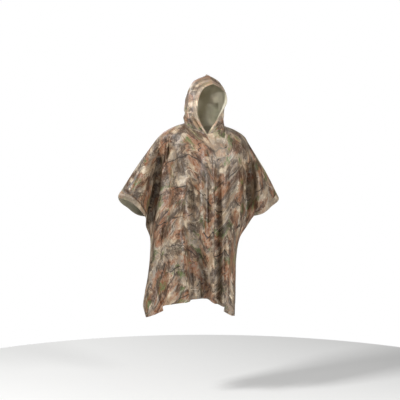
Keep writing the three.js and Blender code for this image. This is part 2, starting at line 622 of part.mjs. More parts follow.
// The middle of a tab's eyelet, and the direction that its flange faces.
function eyeletSeat(surface, side) {
  const edge = side < 0 ? 0 : lastColumn;
  const bottom = surface.points[edge][hemRow + 1];
  const inward = side < 0 ? 1 : -1;
  const alongHem = unit(subtract(surface.points[edge + 3 * inward][hemRow + 1], bottom));
  const upward = unit(subtract(surface.points[edge][hemRow], bottom));
  const centre = moved(moved(bottom, alongHem, EYELET_INSET), upward, EYELET_INSET);
  const facing = unit(cross(alongHem, upward)).map((value) => value * side * surface.facing);
  return { centre, facing };
}

function placed(geometry, seat) {
  const facing = new THREE.Vector3(...seat.facing);
  const turn = new THREE.Quaternion().setFromUnitVectors(new THREE.Vector3(0, 1, 0), facing);
  const [x, y, z] = seat.centre;
  return geometry.applyQuaternion(turn).translate(x, y, z);
}

// The eyelet is a turned channel: a flange outside, a barrel through the cloth and a flange inside.
function eyeletGeometry(seat) {
  const barrel = EYELET_HOLE + EYELET_WALL;
  const outside = EYELET_CLEARANCE;
  const inside = -(WALL + SEAM_GAP + HEM_FOLD + EYELET_CLEARANCE);
  const profile = [
    [EYELET_HOLE, inside - EYELET_WALL],
    [EYELET_RIM, inside - EYELET_WALL],
    [EYELET_RIM, inside],
    [barrel, inside],
    [barrel, outside],
    [EYELET_RIM, outside],
    [EYELET_RIM, outside + EYELET_WALL],
    [EYELET_HOLE, outside + EYELET_WALL],
    [EYELET_HOLE, inside - EYELET_WALL],
  ].map(([radius, height]) => new THREE.Vector2(radius, height));
  return placed(new THREE.LatheGeometry(profile, EYELET_SIDES), seat);
}

function withEyeletHole(geometry, seat) {
  const radius = EYELET_HOLE + EYELET_WALL + SEAM_GAP;
  const drill = new THREE.CylinderGeometry(radius, radius, DRILL_LENGTH, EYELET_SIDES);
  return geometryOf(solidOf(geometry).subtract(solidOf(placed(drill, seat))));
}

const cloth = { color: 0x8c7a66, roughness: 0.62, metalness: 0 };
const hemCloth = { color: 0x9c8a74, roughness: 0.62, metalness: 0 };
const eyeletMetal = { color: 0x5f5a50, roughness: 0.42, metalness: 0.85 };

function node(name, geometry, finish) {
  const mesh = new THREE.Mesh(geometry, new THREE.MeshStandardMaterial(finish));
  mesh.name = name;
  return mesh;
}

// A panel with its hems, its corner patches and its eyelets. What lies on it is a stretch of its own points.
function panelPieces(face, grid, otherGrid) {
  const surface = panelSurface(face, grid, otherGrid);
  const outside = surfaceOf(grid, face);
  const side = face < 0 ? "front" : "back";
  const isTab = (i) => i < bodyStart || i >= bodyEnd;
  const slitColumn = nearest(across, 0);
  const slitRow = nearest(down, SLIT_END);
  const isSlit = (i, j) => face < 0 && i === slitColumn && j < slitRow;
  let panel = wall(surface, 0, -WALL, (i, j) => (j < hemRow || isTab(i)) && !isSlit(i, j));
  const behind = -WALL - SEAM_GAP;
  const pieces = [];
  for (const [name, wearerSide] of [["right", -1], ["left", 1]]) {
    const from = wearerSide < 0 ? 0 : bodyEnd;
    const to = wearerSide < 0 ? bodyStart : lastColumn;
    const seat = eyeletSeat(surface, wearerSide);
    const patchArea = stretchOf(surface, from, to, nearest(down, PATCH_START), hemRow + 1);
    panel = withEyeletHole(panel, seat);
    const patch = withEyeletHole(wall(patchArea, behind, behind - HEM_FOLD), seat);
    pieces.push(node(`${side}_${name}_corner_patch`, patch, hemCloth));
    pieces.push(node(`${side}_${name}_eyelet`, eyeletGeometry(seat), eyeletMetal));
    const edge = wearerSide < 0 ? [0, 1] : [lastColumn - 1, lastColumn];
    const cuff = stretchOf(outside, edge[0], edge[1], 0, cuffRow, { top: CUFF_HEM_END_GAP });
    pieces.push(node(`${side}_${name}_cuff_hem`, wall(cuff, SEAM_GAP + HEM_FOLD, SEAM_GAP), hemCloth));
  }
  const hemTop = nearest(down, HEM_START);
  const hemBand = stretchOf(surface, bodyStart, bodyEnd, hemTop, hemRow, { sides: SEAM_GAP });
  pieces.push(node(`${side}_hem`, wall(hemBand, behind, behind - HEM_FOLD), hemCloth));
  if (face < 0) {
    const flapColumns = [nearest(across, FLAP_FREE_EDGE), nearest(across, FLAP_SEWN_EDGE)];
    const flap = stretchOf(surface, ...flapColumns, 1, nearest(down, FLAP_END));
    pieces.push(node("throat_flap", wall(flap, SEAM_GAP + HEM_FOLD, SEAM_GAP), hemCloth));
  }
  return [node(`${side}_panel`, panel, cloth), ...pieces];
}

// The share of the way round a row of the hood at which the hem of the face opening ends.
function faceHemShare(side, up) {
  const start = hoodPoint(side, up, 0);
  const probe = 0.05;
  const length = Math.hypot(...subtract(hoodPoint(side, up, probe), start)) / probe;
  return FACE_HEM_WIDTH / length;
}

// Half of the hood, on one side of the seam over the head.
function hoodGrid(side) {
  const columns = [];
  for (let i = 0; i <= HOOD_AROUND; i += 1) {
    const column = [];
    for (let j = 0; j <= HOOD_UP; j += 1) {
      const up = j / HOOD_UP;
      const faceHem = mix(1 / HOOD_AROUND, faceHemShare(side, up), smooth(up / FACE_HEM_BLEND));
      const around = i === 0 ? 0 : mix(faceHem, 1, (i - 1) / (HOOD_AROUND - 1));
      column.push(hoodPoint(side, up, around));
    }
    columns.push(column);
  }
  return columns;
}

function hoodSurface(side, grid, otherGrid) {
  const pastColumn = (i, j) => (i === HOOD_AROUND ? otherGrid[i - 1][j] : null);
  const pastRow = (i, j) => {
    if (j === HOOD_UP) return otherGrid[i][j - 1];
    return j === 0 ? moved(grid[i][0], [0, 0, -1], 1) : null;
  };
  return surfaceOf(grid, side, pastColumn, pastRow);
}

function hoodPieces(side, surface) {
  const name = side < 0 ? "right" : "left";
  const faceHem = stretchOf(surface, 0, 1, 0, HOOD_UP, { top: LAP_CLEARANCE });
  return [
    node(`hood_${name}`, wall(surface, 0, -WALL), cloth),
    node(`hood_${name}_face_hem`, wall(faceHem, SEAM_GAP + HEM_FOLD, SEAM_GAP), hemCloth),
  ];
}

const garment = new THREE.Group();
const frontGrid = panelGrid(-1);
const backGrid = panelGrid(1);
const hoodRightGrid = hoodGrid(-1);
const hoodLeftGrid = hoodGrid(1);
garment.add(...panelPieces(-1, frontGrid, backGrid));
garment.add(...panelPieces(1, backGrid, frontGrid));
garment.add(...hoodPieces(-1, hoodSurface(-1, hoodRightGrid, hoodLeftGrid)));
garment.add(...hoodPieces(1, hoodSurface(1, hoodLeftGrid, hoodRightGrid)));

export default garment;
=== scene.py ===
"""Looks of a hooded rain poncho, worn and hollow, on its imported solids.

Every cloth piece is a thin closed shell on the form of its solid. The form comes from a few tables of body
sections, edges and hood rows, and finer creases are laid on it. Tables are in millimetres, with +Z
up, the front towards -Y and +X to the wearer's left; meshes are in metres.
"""

import json
import logging
import math
from collections.abc import Callable
from dataclasses import dataclass, field
from enum import Enum

import bpy
import numpy as np
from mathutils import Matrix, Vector

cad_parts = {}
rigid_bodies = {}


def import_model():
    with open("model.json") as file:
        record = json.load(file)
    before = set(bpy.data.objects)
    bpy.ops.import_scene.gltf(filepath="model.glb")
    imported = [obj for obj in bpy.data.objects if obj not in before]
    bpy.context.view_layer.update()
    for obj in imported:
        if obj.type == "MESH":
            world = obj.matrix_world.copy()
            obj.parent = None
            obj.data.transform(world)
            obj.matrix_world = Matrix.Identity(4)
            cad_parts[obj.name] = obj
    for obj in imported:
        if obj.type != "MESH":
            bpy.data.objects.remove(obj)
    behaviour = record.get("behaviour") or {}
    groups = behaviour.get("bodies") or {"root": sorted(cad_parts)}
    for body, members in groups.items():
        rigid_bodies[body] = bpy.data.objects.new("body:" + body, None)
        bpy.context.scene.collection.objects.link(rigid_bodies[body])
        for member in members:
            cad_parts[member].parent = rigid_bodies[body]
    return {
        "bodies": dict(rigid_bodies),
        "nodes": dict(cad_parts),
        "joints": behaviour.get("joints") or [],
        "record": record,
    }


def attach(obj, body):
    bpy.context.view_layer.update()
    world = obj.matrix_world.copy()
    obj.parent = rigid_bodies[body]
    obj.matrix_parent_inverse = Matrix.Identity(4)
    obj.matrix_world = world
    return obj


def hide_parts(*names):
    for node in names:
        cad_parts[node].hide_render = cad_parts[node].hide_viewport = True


log = logging.getLogger("poncho")
logging.basicConfig(level=logging.INFO, format="%(name)s: %(message)s")

MM = 0.001
Array = np.ndarray
Socket = bpy.types.NodeSocket
Triple = tuple[float, float, float]
Piece = tuple[bpy.types.Object, str, str]

# Driving sizes: lengths in millimetres, and shares of the drop from the shoulder line to the hem
HALF_CUT = 640.0
HALF_BODY = 280.0
BODY_SHARE = HALF_BODY / HALF_CUT
HALF_NECK = 110.0
NECK_SHARE = HALF_NECK / HALF_CUT
CUFF_END = 0.28
TAB_DROP = 24.0
TAB_BOW = 8.0
STIFF_INNER = 468.6
STIFF_FADE = 47.1
STIFF_START = 0.93
SLEEVE_PUFF = 50.0
CUFF_BOW = 54.0
VENT_SPREAD = 62.0
RING_ROUND = 0.8
VENT_START = 0.86
SLIT_END = 0.18
FLAP_END = 0.21
HEM_START = 0.977
PATCH_START = 0.92
FOLD_FADE = 0.16
SLIT_WIDTH = 6.0
SHELL = 1.0
TRIM_LIFT = 0.25
TRIM_WALL = 0.9
EYELET_CUT = 6.3
NECK_ROLL = 2.6
CUFF_GROOVE = 5.0
PROUD_HEM = 7.0
FLAT_HEM = 2.6
FACE_HEM = 1.6

# How much deeper creases are made than their tables say, and how far from the underarm they fade
CREASE_RISE = 2.8
HOOD_CREASE_RISE = 2.1
UNDERARM_CALM = 320.0

# A crease whose line ends below this height runs on to the hem at full depth
HEM_REACH = -890.0

# Stitches: their length, the distance from one to the next, and half of their thickness
STITCH_LENGTH = 3.0
STITCH_PITCH = 4.4
STITCH_HALF = 0.35

# Where on the roll of cloth each part is cut, so that the pattern doesn't run on from part to part, and the
# flat width and height of a hood half
STRIP_SHIFT = np.array([517.0, 283.0])
BACK_SHIFT = np.array([2300.0, 1700.0])
FLAP_SHIFT = np.array([340.0, 90.0])
HOOD_SHIFT = np.array([900.0, 800.0])
HOOD_CUT = np.array([300.0, 340.0])


class Side(Enum):
    """The wearer's side, with the sign of its X."""

    RIGHT = -1
    LEFT = 1

    @property
    def word(self) -> str:
        """The side's name in a node's name."""
        return self.name.lower()


class Face(Enum):
    """Front or back, with the sign of its Y."""

    FRONT = -1
    BACK = 1

    @property
    def word(self) -> str:
        """The face's name in a node's name."""
        return self.name.lower()


@dataclass(frozen=True)
class Table:
    """A table with named columns, read along a key column by a smooth curve.

    Args:
        names: The columns' names, with the key first.
        rows: The rows, in rising order of the key.
    """

    names: str
    rows: tuple[tuple[float, ...], ...]

    def at(self, name: str, place: Array) -> Array:
        """Reads one column.

        Args:
            name: The column's name.
            place: Values of the key.

        Returns:
            The cubic Hermite curve through the column, with slopes from each row's neighbours.
        """
        grid = np.array(self.rows, dtype=float)
        key, value = grid[:, 0], grid[:, self.names.split().index(name)]
        last = len(key) - 1
        before, after = np.maximum(np.arange(last + 1) - 1, 0), np.minimum(np.arange(last + 1) + 1, last)
        slope = (value[after] - value[before]) / (key[after] - key[before])
        x = np.clip(place, key[0], key[last])
        i = np.clip(np.searchsorted(key, x, side="right") - 1, 0, last - 1)
        step = key[i + 1] - key[i]
        u = (x - key[i]) / step
        rest = 1 - u
        ends = value[i] * (1 + 2 * u) * rest**2 + value[i + 1] * u * u * (3 - 2 * u)
        return ends + step * (slope[i] * u * rest**2 - slope[i + 1] * u * u * rest)


# The tables of the solids. The first is the shoulder and arm line, by its length from the middle.
SHOULDER = {
    Side.RIGHT: Table(
        "along x y z",
        (
            (110, -113, -12, 25),
            (170, -171, -25, 5),
            (235, -229, -40, -27),
            (280, -258, -48, -57),
            (350, -298, -60, -112),
            (500, -383, -82, -235),
            (640, -467, -105, -372),
        ),
    ),
    Side.LEFT: Table(
        "along x y z",
        (
            (110, 108, 15, 12),
            (170, 166, 30, -9),
            (235, 219, 45, -43),
            (280, 243, 56, -81),
            (350, 280, 78, -138),
            (500, 350, 115, -248),
            (640, 420, 150, -381),
        ),
    ),
}
# The body between its two side lines, how far it bulges out from there, and how its middle is skewed
SECTIONS = {
    Face.FRONT: Table(
        "down right_x right_y left_x left_y bulge skew",
        (
            (0, -258, -48, 243, 56, 114, 0),
            (0.07, -254, -74, 246, 26, 100, 0.08),
            (0.17, -256, -34, 254, 46, 138, 0.12),
            (0.32, -264, 2, 252, 74, 173, 0.14),
            (0.46, -284, 6, 226, 72, 181, 0.15),
            (0.6, -280, -40, 184, 20, 140, 0.18),
            (0.78, -268, -80, 148, -20, 98, 0.24),
            (1, -228, -112, 104, -62, 55, 0.35),
        ),
    ),
    Face.BACK: Table(
        "down right_x right_y left_x left_y bulge skew",
        (
            (0, -258, -48, 243, 56, 104, 0),
            (0.07, -256, -10, 240, 92, 86, 0),
            (0.17, -262, 26, 248, 118, 70, 0),
            (0.32, -268, 44, 246, 136, 64, 0),
            (0.46, -286, 46, 222, 138, 68, 0),
            (0.6, -284, 62, 178, 146, 66, 0),
            (0.78, -276, 88, 134, 158, 56, 0),
            (1, -262, 104, 100, 170, 46, 0),
        ),
    ),
}
# The outer edge that both panels share, over the cuff and down to the tab
EDGE = {
    Side.RIGHT: Table(
        "down x y z",
        (
            (0, -467, -105, -372),
            (0.28, -330, 2, -486),
            (0.36, -326, 18, -541),
            (0.45, -304, 26, -606),
            (0.6, -303, 12, -716),
            (0.75, -314, 0, -822),
            (0.88, -332, -18, -922),
            (0.95, -338, -36, -974),
            (1, -328, -50, -1012),
        ),
    ),
    Side.LEFT: Table(
        "down x y z",
        (
            (0, 420, 150, -381),
            (0.28, 279, 118, -484),
            (0.36, 240, 108, -539),
            (0.45, 196, 96, -609),
            (0.6, 176, 84, -722),
            (0.75, 172, 76, -831),
            (0.88, 170, 66, -925),
            (1, 167, 60, -1017),
        ),
    ),
}
# How far the middle of each half cuff stands above the edge's table
CUFF_LIFT = {
    (Side.RIGHT, Face.FRONT): 17.0,
    (Side.RIGHT, Face.BACK): -38.0,
    (Side.LEFT, Face.FRONT): -24.0,
    (Side.LEFT, Face.BACK): 8.0,
}
# The height of the hem, by the share across the body
HEM = {
    Face.FRONT: Table(
        "across z",
        (
            (-1, -968),
            (-0.6, -948),
            (-0.45, -941),
            (-0.3, -938),
            (0, -938),
            (0.19, -952),
            (0.4, -961),
            (0.65, -971),
            (1, -975),
        ),
    ),
    Face.BACK: Table("across z", ((-1, -966), (-0.5, -944), (0, -930), (0.5, -934), (1, -954))),
}
# The hood's rows from the neck to the crown: the rim of the face opening, the side of the head, the back seam
HOOD = {
    Side.RIGHT: Table(
        "up rim_x rim_y rim_z side_x side_y side_z",
        (
            (0, 12, -100, -42, -113, -12, 25),
            (0.2, -22, -112, 15, -114, -15, 75),
            (0.4, -41, -120, 72, -112, -20, 125),
            (0.6, -38, -123, 130, -102, -25, 180),
            (0.8, -22, -121, 180, -76, -36, 236),
            (0.9, 0, -118, 207, -46, -45, 260),
            (1, 43, -112, 227, 26, -56, 276),
        ),
    ),
    Side.LEFT: Table(
        "up rim_x rim_y rim_z side_x side_y side_z",
        (
            (0, 12, -100, -42, 107, 15, 11),
            (0.2, 52, -88, 20, 103, 8, 62),
            (0.4, 86, -76, 72, 101, 2, 115),
            (0.6, 117, -64, 132, 103, -6, 175),
            (0.8, 112, -70, 180, 90, -22, 232),
            (0.9, 84, -88, 207, 66, -36, 258),
            (1, 43, -112, 227, 26, -56, 276),
        ),
    ),
}
HOOD_SEAM = Table(
    "up x y z",
    (
        (0, -25, 92, 20),
        (0.2, -38, 112, 75),
        (0.4, -42, 120, 135),
        (0.6, -36, 105, 200),
        (0.8, -18, 65, 258),
        (0.9, -6, 35, 282),
        (1, 6, 0, 295),
    ),
)


@dataclass(frozen=True)
class Fold:
    """A large fold of the solids, as it is seen from the front.

    Args:
        start: The share of the drop where it starts.
        end: The share where it ends; above 1 it runs on over the hem.
        x: The start, the control point and the end of the quadratic curve of its middle, in millimetres.
        floor: Half of the width of its even floor at the top and at the hem.
        rise: The width of each of its walls there.
        depth: Its depth there, out of the cloth if positive.
    """

    start: float
    end: float
    x: tuple[float, float, float]
    floor: tuple[float, float]
    rise: tuple[float, float]
    depth: tuple[float, float]


FOLDS = {
    Face.FRONT: (
        Fold(0.28, 1.3, (-72, -76, -16), (0, 30), (46, 40), (-18, -84)),
        Fold(0.16, 1.3, (42, 42, 44), (0, 0), (30, 24), (12, 14)),
        Fold(0.2, 1.3, (70, 72, 72), (0, 0), (30, 24), (-12, -30)),
        Fold(0.08, 1.3, (140, 126, 100), (8, 0), (46, 30), (10, 14)),
        Fold(0.4, 1.3, (190, 160, 134), (0, 0), (34, 26), (-8, -16)),
        Fold(0.08, 1.3, (-132, -150, -118), (0, 0), (40, 44), (13, 10)),
        Fold(0.12, 1.3, (-192, -228, -214), (0, 0), (34, 32), (-14, -12)),
        Fold(0.14, 0.72, (6, 6, 8), (0, 0), (34, 34), (-9, -8)),
        Fold(0.3, 0.82, (-28, -18, -6), (0, 0), (34, 32), (9, 8)),
        Fold(0.01, 0.3, (-168, -196, -210), (0, 0), (32, 30), (-10, -8)),
    ),
    Face.BACK: (
        Fold(0.1, 1.3, (-170, -178, -176), (0, 6), (50, 44), (-16, -44)),
        Fold(0.16, 1.3, (-96, -100, -104), (0, 0), (40, 34), (8, 14)),
        Fold(0.22, 1.3, (-30, -34, -40), (0, 8), (44, 42), (-12, -46)),
        Fold(0.2, 1.3, (40, 30, 24), (0, 0), (36, 32), (8, 12)),
        Fold(0.12, 1.3, (122, 100, 82), (0, 4), (46, 38), (-15, -38)),
        Fold(0.34, 1.3, (180, 142, 124), (0, 0), (30, 26), (6, 12)),
    ),
}


@dataclass(frozen=True)
class Crease:
    """A crease of the cloth, as it is seen from the front.

    Args:
        path: Points (x, z) in millimetres that its line passes through.
        depth: Out of the cloth if positive, into it if negative, in millimetres.
        width: Half of its width, in millimetres.
        lean: From -1 to 1; the wall to its left (below 0) or to its right (above 0) is the steeper one.
        crisp: True for a pinched line, false for a soft one.
    """

    path: tuple[tuple[float, float], ...]
    depth: float
    width: float
    lean: float = 0.0
    crisp: bool = False


# The front's creases are placed one by one. The first number of each pair runs to the viewer's right.
FRONT_CREASES = (
    Crease(((-212, -46), (-214, -100), (-222, -170), (-232, -260)), -7.0, 8, -0.3, True),
    Crease(((-196, -40), (-197, -110), (-203, -200)), -6.5, 8, 0.3, True),
    Crease(((-205, -50), (-208, -110), (-214, -200)), 3.5, 8),
    Crease(((-240, -110), (-254, -220), (-270, -340), (-290, -450), (-304, -580)), -17.0, 19, 0.35),
    Crease(((-224, -130), (-232, -240), (-252, -370), (-280, -490)), 4.0, 8, 0.0, True),
    Crease(((-190, -90), (-194, -300), (-200, -470), (-230, -580), (-250, -760)), -5.0, 14, 0.2),
    Crease(((-168, -70), (-150, -120), (-132, -190), (-124, -270)), 5.5, 13, 0.4),
    Crease(((-150, -84), (-128, -150), (-112, -230)), -4.0, 11, 0.3),
    Crease(((-98, -262), (-110, -345), (-127, -430), (-147, -530)), 5.5, 8.5, 0.3),
    Crease(((-84, -280), (-98, -380), (-112, -500), (-118, -640)), -6.5, 13, -0.5),
    Crease(((-122, -210), (-132, -290), (-142, -370)), 3.5, 10, -0.5),
    Crease(((-60, -150), (-52, -260), (-44, -380), (-30, -520)), -4.0, 16, 0.4),
    Crease(((-34, -200), (-26, -320), (-18, -460), (-8, -600)), 4.0, 12, -0.4),
    Crease(((14, -190), (18, -300), (14, -420), (10, -540)), -3.5, 13, 0.3),
    Crease(((45, -215), (40, -330), (46, -450), (41, -640), (47, -780), (45, -930)), 3.5, 9, 0.8),
    Crease(((58, -240), (60, -430), (62, -660), (62, -930)), -9.0, 10, -0.6),
    Crease(((4, -118), (14, -146), (22, -176)), -9.0, 9, 0.3),
    Crease(((54, -44), (60, -70), (58, -104)), -6.0, 8, 0.2),
    Crease(((96, -170), (104, -300), (98, -430), (92, -560)), 3.0, 16, 0.3),
    Crease(((128, -160), (138, -280), (142, -420), (134, -560)), -4.0, 14, 0.4),
    Crease(((158, -90), (172, -180), (184, -300), (188, -420)), 4.0, 14, 0.6),
    Crease(((208, -100), (230, -220), (238, -340), (226, -470)), -17.0, 20, -0.3),
    Crease(((206, -420), (190, -520), (170, -600), (162, -700)), -4.5, 12, 0.3),
    Crease(((98, -560), (104, -700), (100, -820), (102, -950)), -4.0, 12, 0.4),
    Crease(((118, -600), (124, -740), (120, -860), (118, -960)), 3.5, 10, 0.4),
    Crease(((148, -700), (146, -800), (144, -960)), 4.0, 11, 0.5),
    Crease(((-150, -520), (-172, -640), (-188, -780), (-196, -930)), 4.5, 14, -0.4),
    Crease(((-196, -480), (-226, -580), (-246, -700), (-262, -840)), -4.5, 15, 0.3),
    Crease(((-232, -520), (-262, -640), (-282, -760)), 3.5, 12),
    Crease(((-146, -640), (-152, -760), (-164, -900)), -4.0, 13, -0.3),
    Crease(((-118, -600), (-122, -730), (-112, -860), (-100, -940)), 3.5, 12, 0.5),
    Crease(((-84, -700), (-72, -810), (-64, -960)), -5.0, 9, 0.8),
    Crease(((-26, -600), (-20, -760), (-16, -980)), -8.0, 34, -0.2),
    Crease(((-30, -720), (-24, -820), (-22, -925)), 4.5, 10, -0.2),
    Crease(((8, -700), (16, -820), (20, -925)), -4.0, 9, 0.3),
    Crease(((-312, -852), (-284, -908), (-246, -978)), 6.0, 9, 0.4, True),
    Crease(((-322, -890), (-300, -940), (-270, -1000)), -5.0, 9, 0.2),
    Crease(((-262, -850), (-250, -900), (-232, -950)), -4.5, 9),
    Crease(((130, -880), (140, -940), (150, -1000)), 3.5, 9, 0.3),
    Crease(((-70, -62), (-40, -78), (0, -92)), -3.5, 10, 0.2),
    Crease(((-104, -40), (-66, -92), (-30, -150)), -3.0, 13),
    Crease(((70, -60), (104, -96), (134, -150)), -3.0, 12),
    Crease(((50, -52), (70, -110), (78, -190)), 2.5, 11),
    Crease(((150, -40), (184, -84), (206, -140)), -3.0, 11, 0.3),
    Crease(((-300, -160), (-330, -250), (-372, -340), (-400, -390)), 4.0, 15, 0.2),
    Crease(((-270, -150), (-290, -260), (-320, -370), (-340, -430)), -5.0, 14, 0.2),
    Crease(((-330, -200), (-380, -300), (-424, -370)), -3.0, 12),
    Crease(((-262, -240), (-276, -330), (-300, -430)), 3.5, 10),
    Crease(((250, -130), (276, -220), (300, -320), (312, -420)), 4.0, 14, 0.2),
    Crease(((238, -180), (256, -280), (268, -380), (262, -450)), -5.5, 13, -0.2),
    Crease(((300, -210), (340, -300), (374, -380)), -3.0, 13),
    Crease(((262, -460), (240, -500), (212, -560)), -3.5, 9),
    Crease(((282, -440), (250, -520), (210, -600)), 3.0, 9),
)
BACK_CREASES = (
    Crease(((-226, -70), (-240, -190), (-256, -330), (-284, -450)), -5.0, 14, 0.3),
    Crease(((-190, -60), (-196, -160), (-206, -300)), -4.5, 12, 0.3),
    Crease(((-206, -70), (-214, -180), (-226, -320)), 3.5, 11, -0.3),
    Crease(((-150, -40), (-142, -160), (-136, -310), (-140, -480)), 4.5, 14, 0.4),
    Crease(((-112, -60), (-104, -220), (-100, -400), (-106, -640)), -4.0, 13, -0.3),
    Crease(((-78, -110), (-70, -300), (-72, -520), (-80, -760)), 5.0, 11, 0.6),
    Crease(((-46, -60), (-36, -200), (-30, -360)), -4.0, 15, 0.2),
    Crease(((-6, -90), (2, -260), (0, -470), (-8, -700), (-10, -920)), 4.5, 12, -0.4),
    Crease(((34, -130), (44, -320), (38, -560)), -4.0, 13, 0.4),
    Crease(((66, -90), (72, -260), (66, -480), (56, -720)), 4.5, 12, 0.5),
    Crease(((104, -80), (112, -240), (106, -430)), -3.5, 14),
    Crease(((140, -90), (158, -230), (160, -400), (148, -560)), 4.5, 13, 0.5),
    Crease(((182, -70), (204, -200), (212, -350), (196, -480)), -5.5, 14, -0.3),
    Crease(((-232, -500), (-250, -640), (-262, -800), (-270, -930)), 4.0, 14, 0.3),
    Crease(((-200, -560), (-214, -700), (-220, -880)), -4.0, 13, -0.3),
    Crease(((-140, -640), (-148, -780), (-140, -920)), 4.0, 11, 0.5),
    Crease(((-58, -760), (-62, -850), (-60, -925)), -4.0, 10, 0.4),
    Crease(((48, -700), (44, -820), (42, -920)), -4.0, 11),
    Crease(((96, -620), (92, -760), (98, -930)), 3.5, 11, 0.4),
    Crease(((140, -620), (130, -780), (136, -960)), -3.5, 11),
    Crease(((-60, 6), (-20, -14), (30, -12), (70, 0)), -3.0, 12),
    Crease(((-90, -10), (-30, -44), (40, -44)), 2.5, 14),
    Crease(((-300, -170), (-336, -270), (-384, -360)), 4.0, 14),
    Crease(((-280, -160), (-300, -280), (-340, -400)), -4.0, 13),
    Crease(((254, -140), (284, -240), (320, -340)), 4.0, 14),
    Crease(((240, -190), (262, -300), (280, -420)), -4.5, 13),
    Crease(((280, -460), (236, -520), (200, -600)), 3.0, 10),
    Crease(((-316, -500), (-280, -560), (-250, -640)), 3.0, 11),
    Crease(((-322, -950), (-294, -900), (-270, -840)), -3.0, 11),
)
# The hood's creases are placed by share: around from the face opening to the back seam, and up, times 100.
HOOD_CREASES = {
    Side.RIGHT: (
        Crease(((36, 52), (23, 37), (13, 24), (7, 10), (-4, -16)), -8.0, 2.0, 0.3),
        Crease(((38, 40), (30, 28), (25, 15), (18, 2), (10, -18)), -7.0, 2.0, -0.3),
        Crease(((37, 46), (27, 33), (18, 20), (11, 5), (2, -16)), 5.5, 2.2, 0.2),
        Crease(((28, 60), (17, 42), (10, 28), (7, 16)), 3.5, 2.4),
        Crease(((10, 24), (19, 40), (25, 60), (27, 82)), 5.0, 3.0, 0.4),
        Crease(((14, -2), (29, 6), (46, 16), (60, 30)), -7.0, 3.0),
        Crease(((34, 40), (42, 58), (46, 80)), -3.0, 4.0, 0.2),
        Crease(((50, 0), (54, 20), (62, 44)), 3.0, 4.5, 0.3),
        Crease(((66, 0), (70, 22), (78, 48)), -3.0, 4.5),
        Crease(((80, 4), (84, 26), (88, 60)), 2.5, 4.0),
        Crease(((10, 60), (16, 78), (26, 94)), -2.5, 3.5),
    ),
    Side.LEFT: (
        Crease(((4, 10), (10, 26), (14, 46), (16, 64)), -4.0, 3.4, 0.4),
        Crease(((8, 2), (18, 14), (25, 32)), -6.0, 3.2, 0.2, True),
        Crease(((20, 0), (32, 14), (40, 36), (42, 60)), 3.5, 4.0, 0.3),
        Crease(((38, 0), (48, 18), (54, 44)), -3.5, 4.2),
        Crease(((58, 2), (64, 24), (68, 54)), 3.0, 4.2),
        Crease(((76, 0), (80, 22), (86, 52)), -2.5, 4.4),
        Crease(((16, 66), (24, 82), (36, 94)), 2.5, 4.0),
    ),
}


def mix(a: Array, b: Array, share: Array) -> Array:
    """The value at a share of the way from a to b."""
    return a + (b - a) * share


def smooth(value: Array) -> Array:
    """An even start and end: 3 x squared less 2 x cubed, held between 0 and 1."""
    x = np.clip(value, 0, 1)
    return x * x * (3 - 2 * x)


def unit(vectors: Array) -> Array:
    """Vectors of length 1 along the given ones."""
    return vectors / np.maximum(np.linalg.norm(vectors, axis=-1, keepdims=True), 1e-9)


def hood_point(side: Side, up: Array, around: Array) -> Array:
    """Points of a hood half.

    Args:
        side: The wearer's side.
        up: Share of the height, from the neck seam to the seam over the head.
        around: Share of the way from the face opening over the side of the head to the back seam.

    Returns:
        Two quarter turns in a row, each an ellipse at the neck and flatter higher up.
    """
    table = HOOD[side]
    rim = [table.at(name, up) for name in ("rim_x", "rim_y", "rim_z")]
    flank = [table.at(name, up) for name in ("side_x", "side_y", "side_z")]
    seam = [HOOD_SEAM.at(name, up) for name in "xyz"]
    full = mix(1.0, 0.62, smooth(up / 0.35))
    share = np.where(around < 0.5, around / 0.5, (around - 0.5) / 0.5)
    turn = share * math.pi / 2
    rising, falling = mix(share, np.sin(turn), full), mix(share, 1 - np.cos(turn), full)
    ahead = (mix(rim[0], flank[0], rising), mix(rim[1], flank[1], falling))
    shares = (falling, rising, rising)
    behind = tuple(mix(side, back, share) for side, back, share in zip(flank, seam, shares))
    height = mix(rim[2], flank[2], mix(share, smooth(share), 0.5))
    first = around < 0.5
    parts = (
        np.where(first, ahead[0], behind[0]),
        np.where(first, ahead[1], behind[1]),
        np.where(first, height, behind[2]),
    )
    return np.stack(np.broadcast_arrays(*parts), -1)


def by_side(across: Array, read: Callable[[Side], Array]) -> Array:
    """Reads points for the wearer's right where across is below 0, and for the left elsewhere."""
    return np.where((across < 0)[..., None], read(Side.RIGHT), read(Side.LEFT))


def shoulder_point(across: Array, along: Array) -> Array:
    """Points of the shoulder line at a distance along the cloth from the middle."""
    return by_side(across, lambda side: np.stack([SHOULDER[side].at(name, along) for name in "xyz"], -1))


def top_edge(face: Face, across: Array) -> Array:
    """The panel's top edge: the shoulder line, or the neckline, which is the hood's first row.

    Args:
        face: Front or back.
        across: From the wearer's right edge (-1) to the left edge (1).

    Returns:
        Points of the edge.
    """
    width = np.abs(across)
    inner = np.clip(width / NECK_SHARE * 0.5, 0, 0.5)
    around = inner if face is Face.FRONT else 1 - inner
    neck = by_side(across, lambda side: hood_point(side, np.zeros_like(across), around))
    return np.where((width >= NECK_SHARE)[..., None], shoulder_point(across, width * HALF_CUT), neck)


